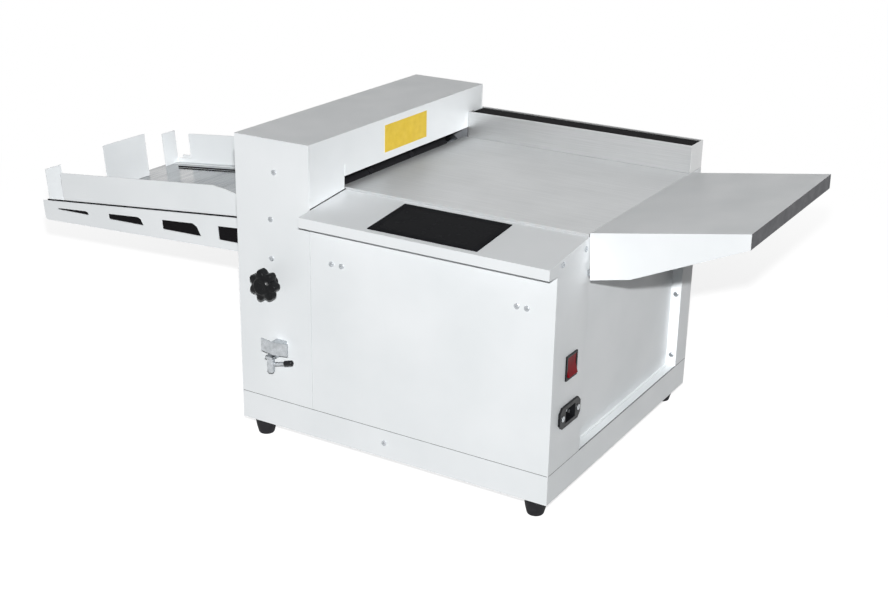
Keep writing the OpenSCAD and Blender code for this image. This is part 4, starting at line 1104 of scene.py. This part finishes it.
@dataclass
class Studio:
    """The camera, the lamps, the floor and the white surroundings.

    Attributes:
        eye: The camera's place.
        azimuth: The camera's turn about Z in degrees.
        elevation: The camera's height above the horizon in degrees.
        roll: The camera's roll in degrees.
        focal: The focal length in pixels of an image that is 888 wide.
        flash: The place of the key lamp, a little above the camera.
        key: How bright a white surface that faces the key lamp is.
        fill: How bright the surroundings light everything.
        left_rim: How bright the soft lamp beside the exit side is.
        rear: How bright the soft lamp behind the machine is.
        left_at: The place of the lamp beside the exit side.
        rear_at: The place of the lamp behind the machine.
        key_size: The diameter of the key lamp, which sets how hard its shadows are.
        soft_size: The diameter of the two soft lamps.
        aim: What the lamps are aimed at.
        bounce: How much light the floor throws back at the machine.
        fade: From where to where the floor turns to plain white, as distances from its middle.
        floor_grey: How pale the floor is where the machine's shadow falls.
        floor_glow: How much the floor shines by itself where it is seen, which lightens the shadow.
        sensor: The width of the camera's sensor in millimetres.
        frame_width: The width of the photograph in pixels.
    """

    eye: Point = (0.98125, -1.5148, 0.8388)
    azimuth: float = 30.69
    elevation: float = 20.92
    roll: float = 1.05
    focal: float = 1414.5
    flash: Point = (0.9657, -1.4917, 0.935)
    key: float = 1.17
    fill: float = 0.03
    left_rim: float = 0.3
    rear: float = 0.42
    left_at: Point = (-2.6, 0.9, 0.4)
    rear_at: Point = (0.2, 3.0, 0.35)
    key_size: float = 0.035
    soft_size: float = 1.3
    aim: Point = (0, 0, 0.22)
    bounce: float = 0.2
    fade: tuple[float, float] = (0.6, 1.5)
    floor_grey: float = 0.42
    floor_glow: float = 0.8
    sensor: float = 36.0
    frame_width: int = 888

    def build(self) -> None:
        """Makes the camera, the lamps, the floor and the world."""
        bpy.context.scene.view_settings.view_transform = "Standard"
        self.camera()
        self.lamp("key_lamp", self.flash, self.key, self.key_size, True)
        self.lamp("left_rim_lamp", self.left_at, self.left_rim, self.soft_size, False)
        self.lamp("rear_lamp", self.rear_at, self.rear, self.soft_size, False)
        self.surroundings()
        self.floor()

    def camera(self) -> None:
        """Makes the camera at the photograph's place."""
        az, el, roll = (math.radians(a) for a in (self.azimuth, self.elevation, self.roll))
        ahead = Vector((-math.sin(az) * math.cos(el), math.cos(az) * math.cos(el), -math.sin(el)))
        right = Vector((math.cos(az), math.sin(az), 0))
        up = right.cross(ahead)
        turned_right = math.cos(roll) * right + math.sin(roll) * up
        turned_up = -math.sin(roll) * right + math.cos(roll) * up
        lens = bpy.data.cameras.new("photo_camera")
        lens.sensor_width = self.sensor
        lens.lens = self.focal * self.sensor / self.frame_width
        lens.clip_end = 50
        made = bpy.data.objects.new("photo_camera", lens)
        axes = Matrix((turned_right, turned_up, -ahead)).transposed()
        made.matrix_world = Matrix.Translation(self.eye) @ axes.to_4x4()
        bpy.context.scene.collection.objects.link(made)
        bpy.context.scene.camera = made

    def lamp(self, name: str, at: Point, level: float, size: float, glossy: bool) -> None:
        """Makes a round lamp that is as bright far away as near, and aims it at the machine.

        Args:
            name: The lamp's name.
            at: Its place.
            level: How bright a white surface that faces it is.
            size: Its diameter.
            glossy: Whether it shows in shiny surfaces.
        """
        data = bpy.data.lights.new(name, "AREA")
        data.shape = "DISK"
        data.size = size
        data.energy = level * math.pi**2
        data.use_nodes = True
        tree = data.node_tree
        tree.nodes.clear()
        even = add(tree, "ShaderNodeLightFalloff", {"Strength": 1.0}).outputs["Constant"]
        glow = add(tree, "ShaderNodeEmission", {"Strength": even})
        add(tree, "ShaderNodeOutputLight", {"Surface": glow.outputs[0]})
        made = bpy.data.objects.new(name, data)
        made.matrix_world = Matrix.Translation(at) @ (
            (Vector(self.aim) - Vector(at)).to_track_quat("-Z", "Y").to_matrix().to_4x4()
        )
        made.visible_camera = False
        made.visible_glossy = glossy
        bpy.context.scene.collection.objects.link(made)

    def seen_directly(self, tree: bpy.types.NodeTree) -> bpy.types.NodeSocket:
        """Adds a value that is 1 for what the camera sees, straight or through gloss and glass.

        Args:
            tree: The nodes that the value goes into.

        Returns:
            The value.
        """
        path = add(tree, "ShaderNodeLightPath").outputs
        rays = {0: path["Is Glossy Ray"], 1: path["Is Transmission Ray"]}
        shiny = add(tree, "ShaderNodeMath", rays, operation="MAXIMUM").outputs[0]
        either = {0: path["Is Camera Ray"], 1: shiny}
        return add(tree, "ShaderNodeMath", either, operation="MAXIMUM").outputs[0]

    def surroundings(self) -> None:
        """Makes the world: white where it is seen, and an even soft fill elsewhere."""
        world = bpy.data.worlds.new("white_studio")
        bpy.context.scene.world = world
        world.use_nodes = True
        tree = world.node_tree
        tree.nodes.clear()
        soft = add(tree, "ShaderNodeBackground", {"Color": (1, 1, 1, 1), "Strength": self.fill})
        seen = add(tree, "ShaderNodeBackground", {"Color": (1, 1, 1, 1), "Strength": 1.0})
        both = {0: self.seen_directly(tree), 1: soft.outputs[0], 2: seen.outputs[0]}
        mix = add(tree, "ShaderNodeMixShader", both)
        add(tree, "ShaderNodeOutputWorld", {"Surface": mix.outputs[0]})

    def floor(self) -> None:
        """Makes the pale floor, which keeps the machine's shadow and turns to plain white further out."""
        shape = bmesh.new()
        bmesh.ops.create_grid(shape, x_segments=1, y_segments=1, size=8.0)
        mesh = bpy.data.meshes.new("studio_floor")
        shape.to_mesh(mesh)
        shape.free()
        made = bpy.data.objects.new("studio_floor", mesh)
        bpy.context.scene.collection.objects.link(made)
        paper = bpy.data.materials.new("pale_floor")
        paper.use_nodes = True
        tree = paper.node_tree
        tree.nodes.clear()
        place = add(tree, "ShaderNodeTexCoord").outputs["Object"]
        away = add(tree, "ShaderNodeVectorMath", {0: place}, operation="LENGTH").outputs["Value"]
        ends = {"From Min": self.fade[0], "From Max": self.fade[1], "To Min": 0.0, "To Max": 1.0}
        far = add(tree, "ShaderNodeMapRange", {"Value": away, **ends}).outputs[0]
        grey = (self.floor_grey, self.floor_grey, self.floor_grey, 1)
        matt = add(tree, "ShaderNodeBsdfDiffuse", {"Color": grey})
        glow = add(tree, "ShaderNodeEmission", {"Color": (1, 1, 1, 1), "Strength": self.floor_glow})
        lit = add(tree, "ShaderNodeAddShader", {0: matt.outputs[0], 1: glow.outputs[0]})
        white = add(tree, "ShaderNodeEmission", {"Color": (1, 1, 1, 1), "Strength": 1.0})
        faded = add(tree, "ShaderNodeMixShader", {0: far, 1: lit.outputs[0], 2: white.outputs[0]})
        plain = add(tree, "ShaderNodeBsdfDiffuse", {"Color": (self.bounce, self.bounce, self.bounce, 1)})
        both = {0: self.seen_directly(tree), 1: plain.outputs[0], 2: faded.outputs[0]}
        mix = add(tree, "ShaderNodeMixShader", both)
        add(tree, "ShaderNodeOutputMaterial", {"Surface": mix.outputs[0]})
        mesh.materials.append(paper)


def main() -> None:
    """Builds the studio and every sub-assembly."""
    logging.basicConfig(level=logging.INFO, format="%(name)s: %(message)s")
    Studio().build()
    parts: list[SubAssembly] = [
        Casing(), Hood(), ControlDeck(), FeedTable(), Extension(),
        CreasingUnit(), Drive(), Electrics(), Controls(), DeliveryTray(),
    ]  # fmt: skip
    for part in parts:
        part.build()


if __name__ == "__main__":
    main()
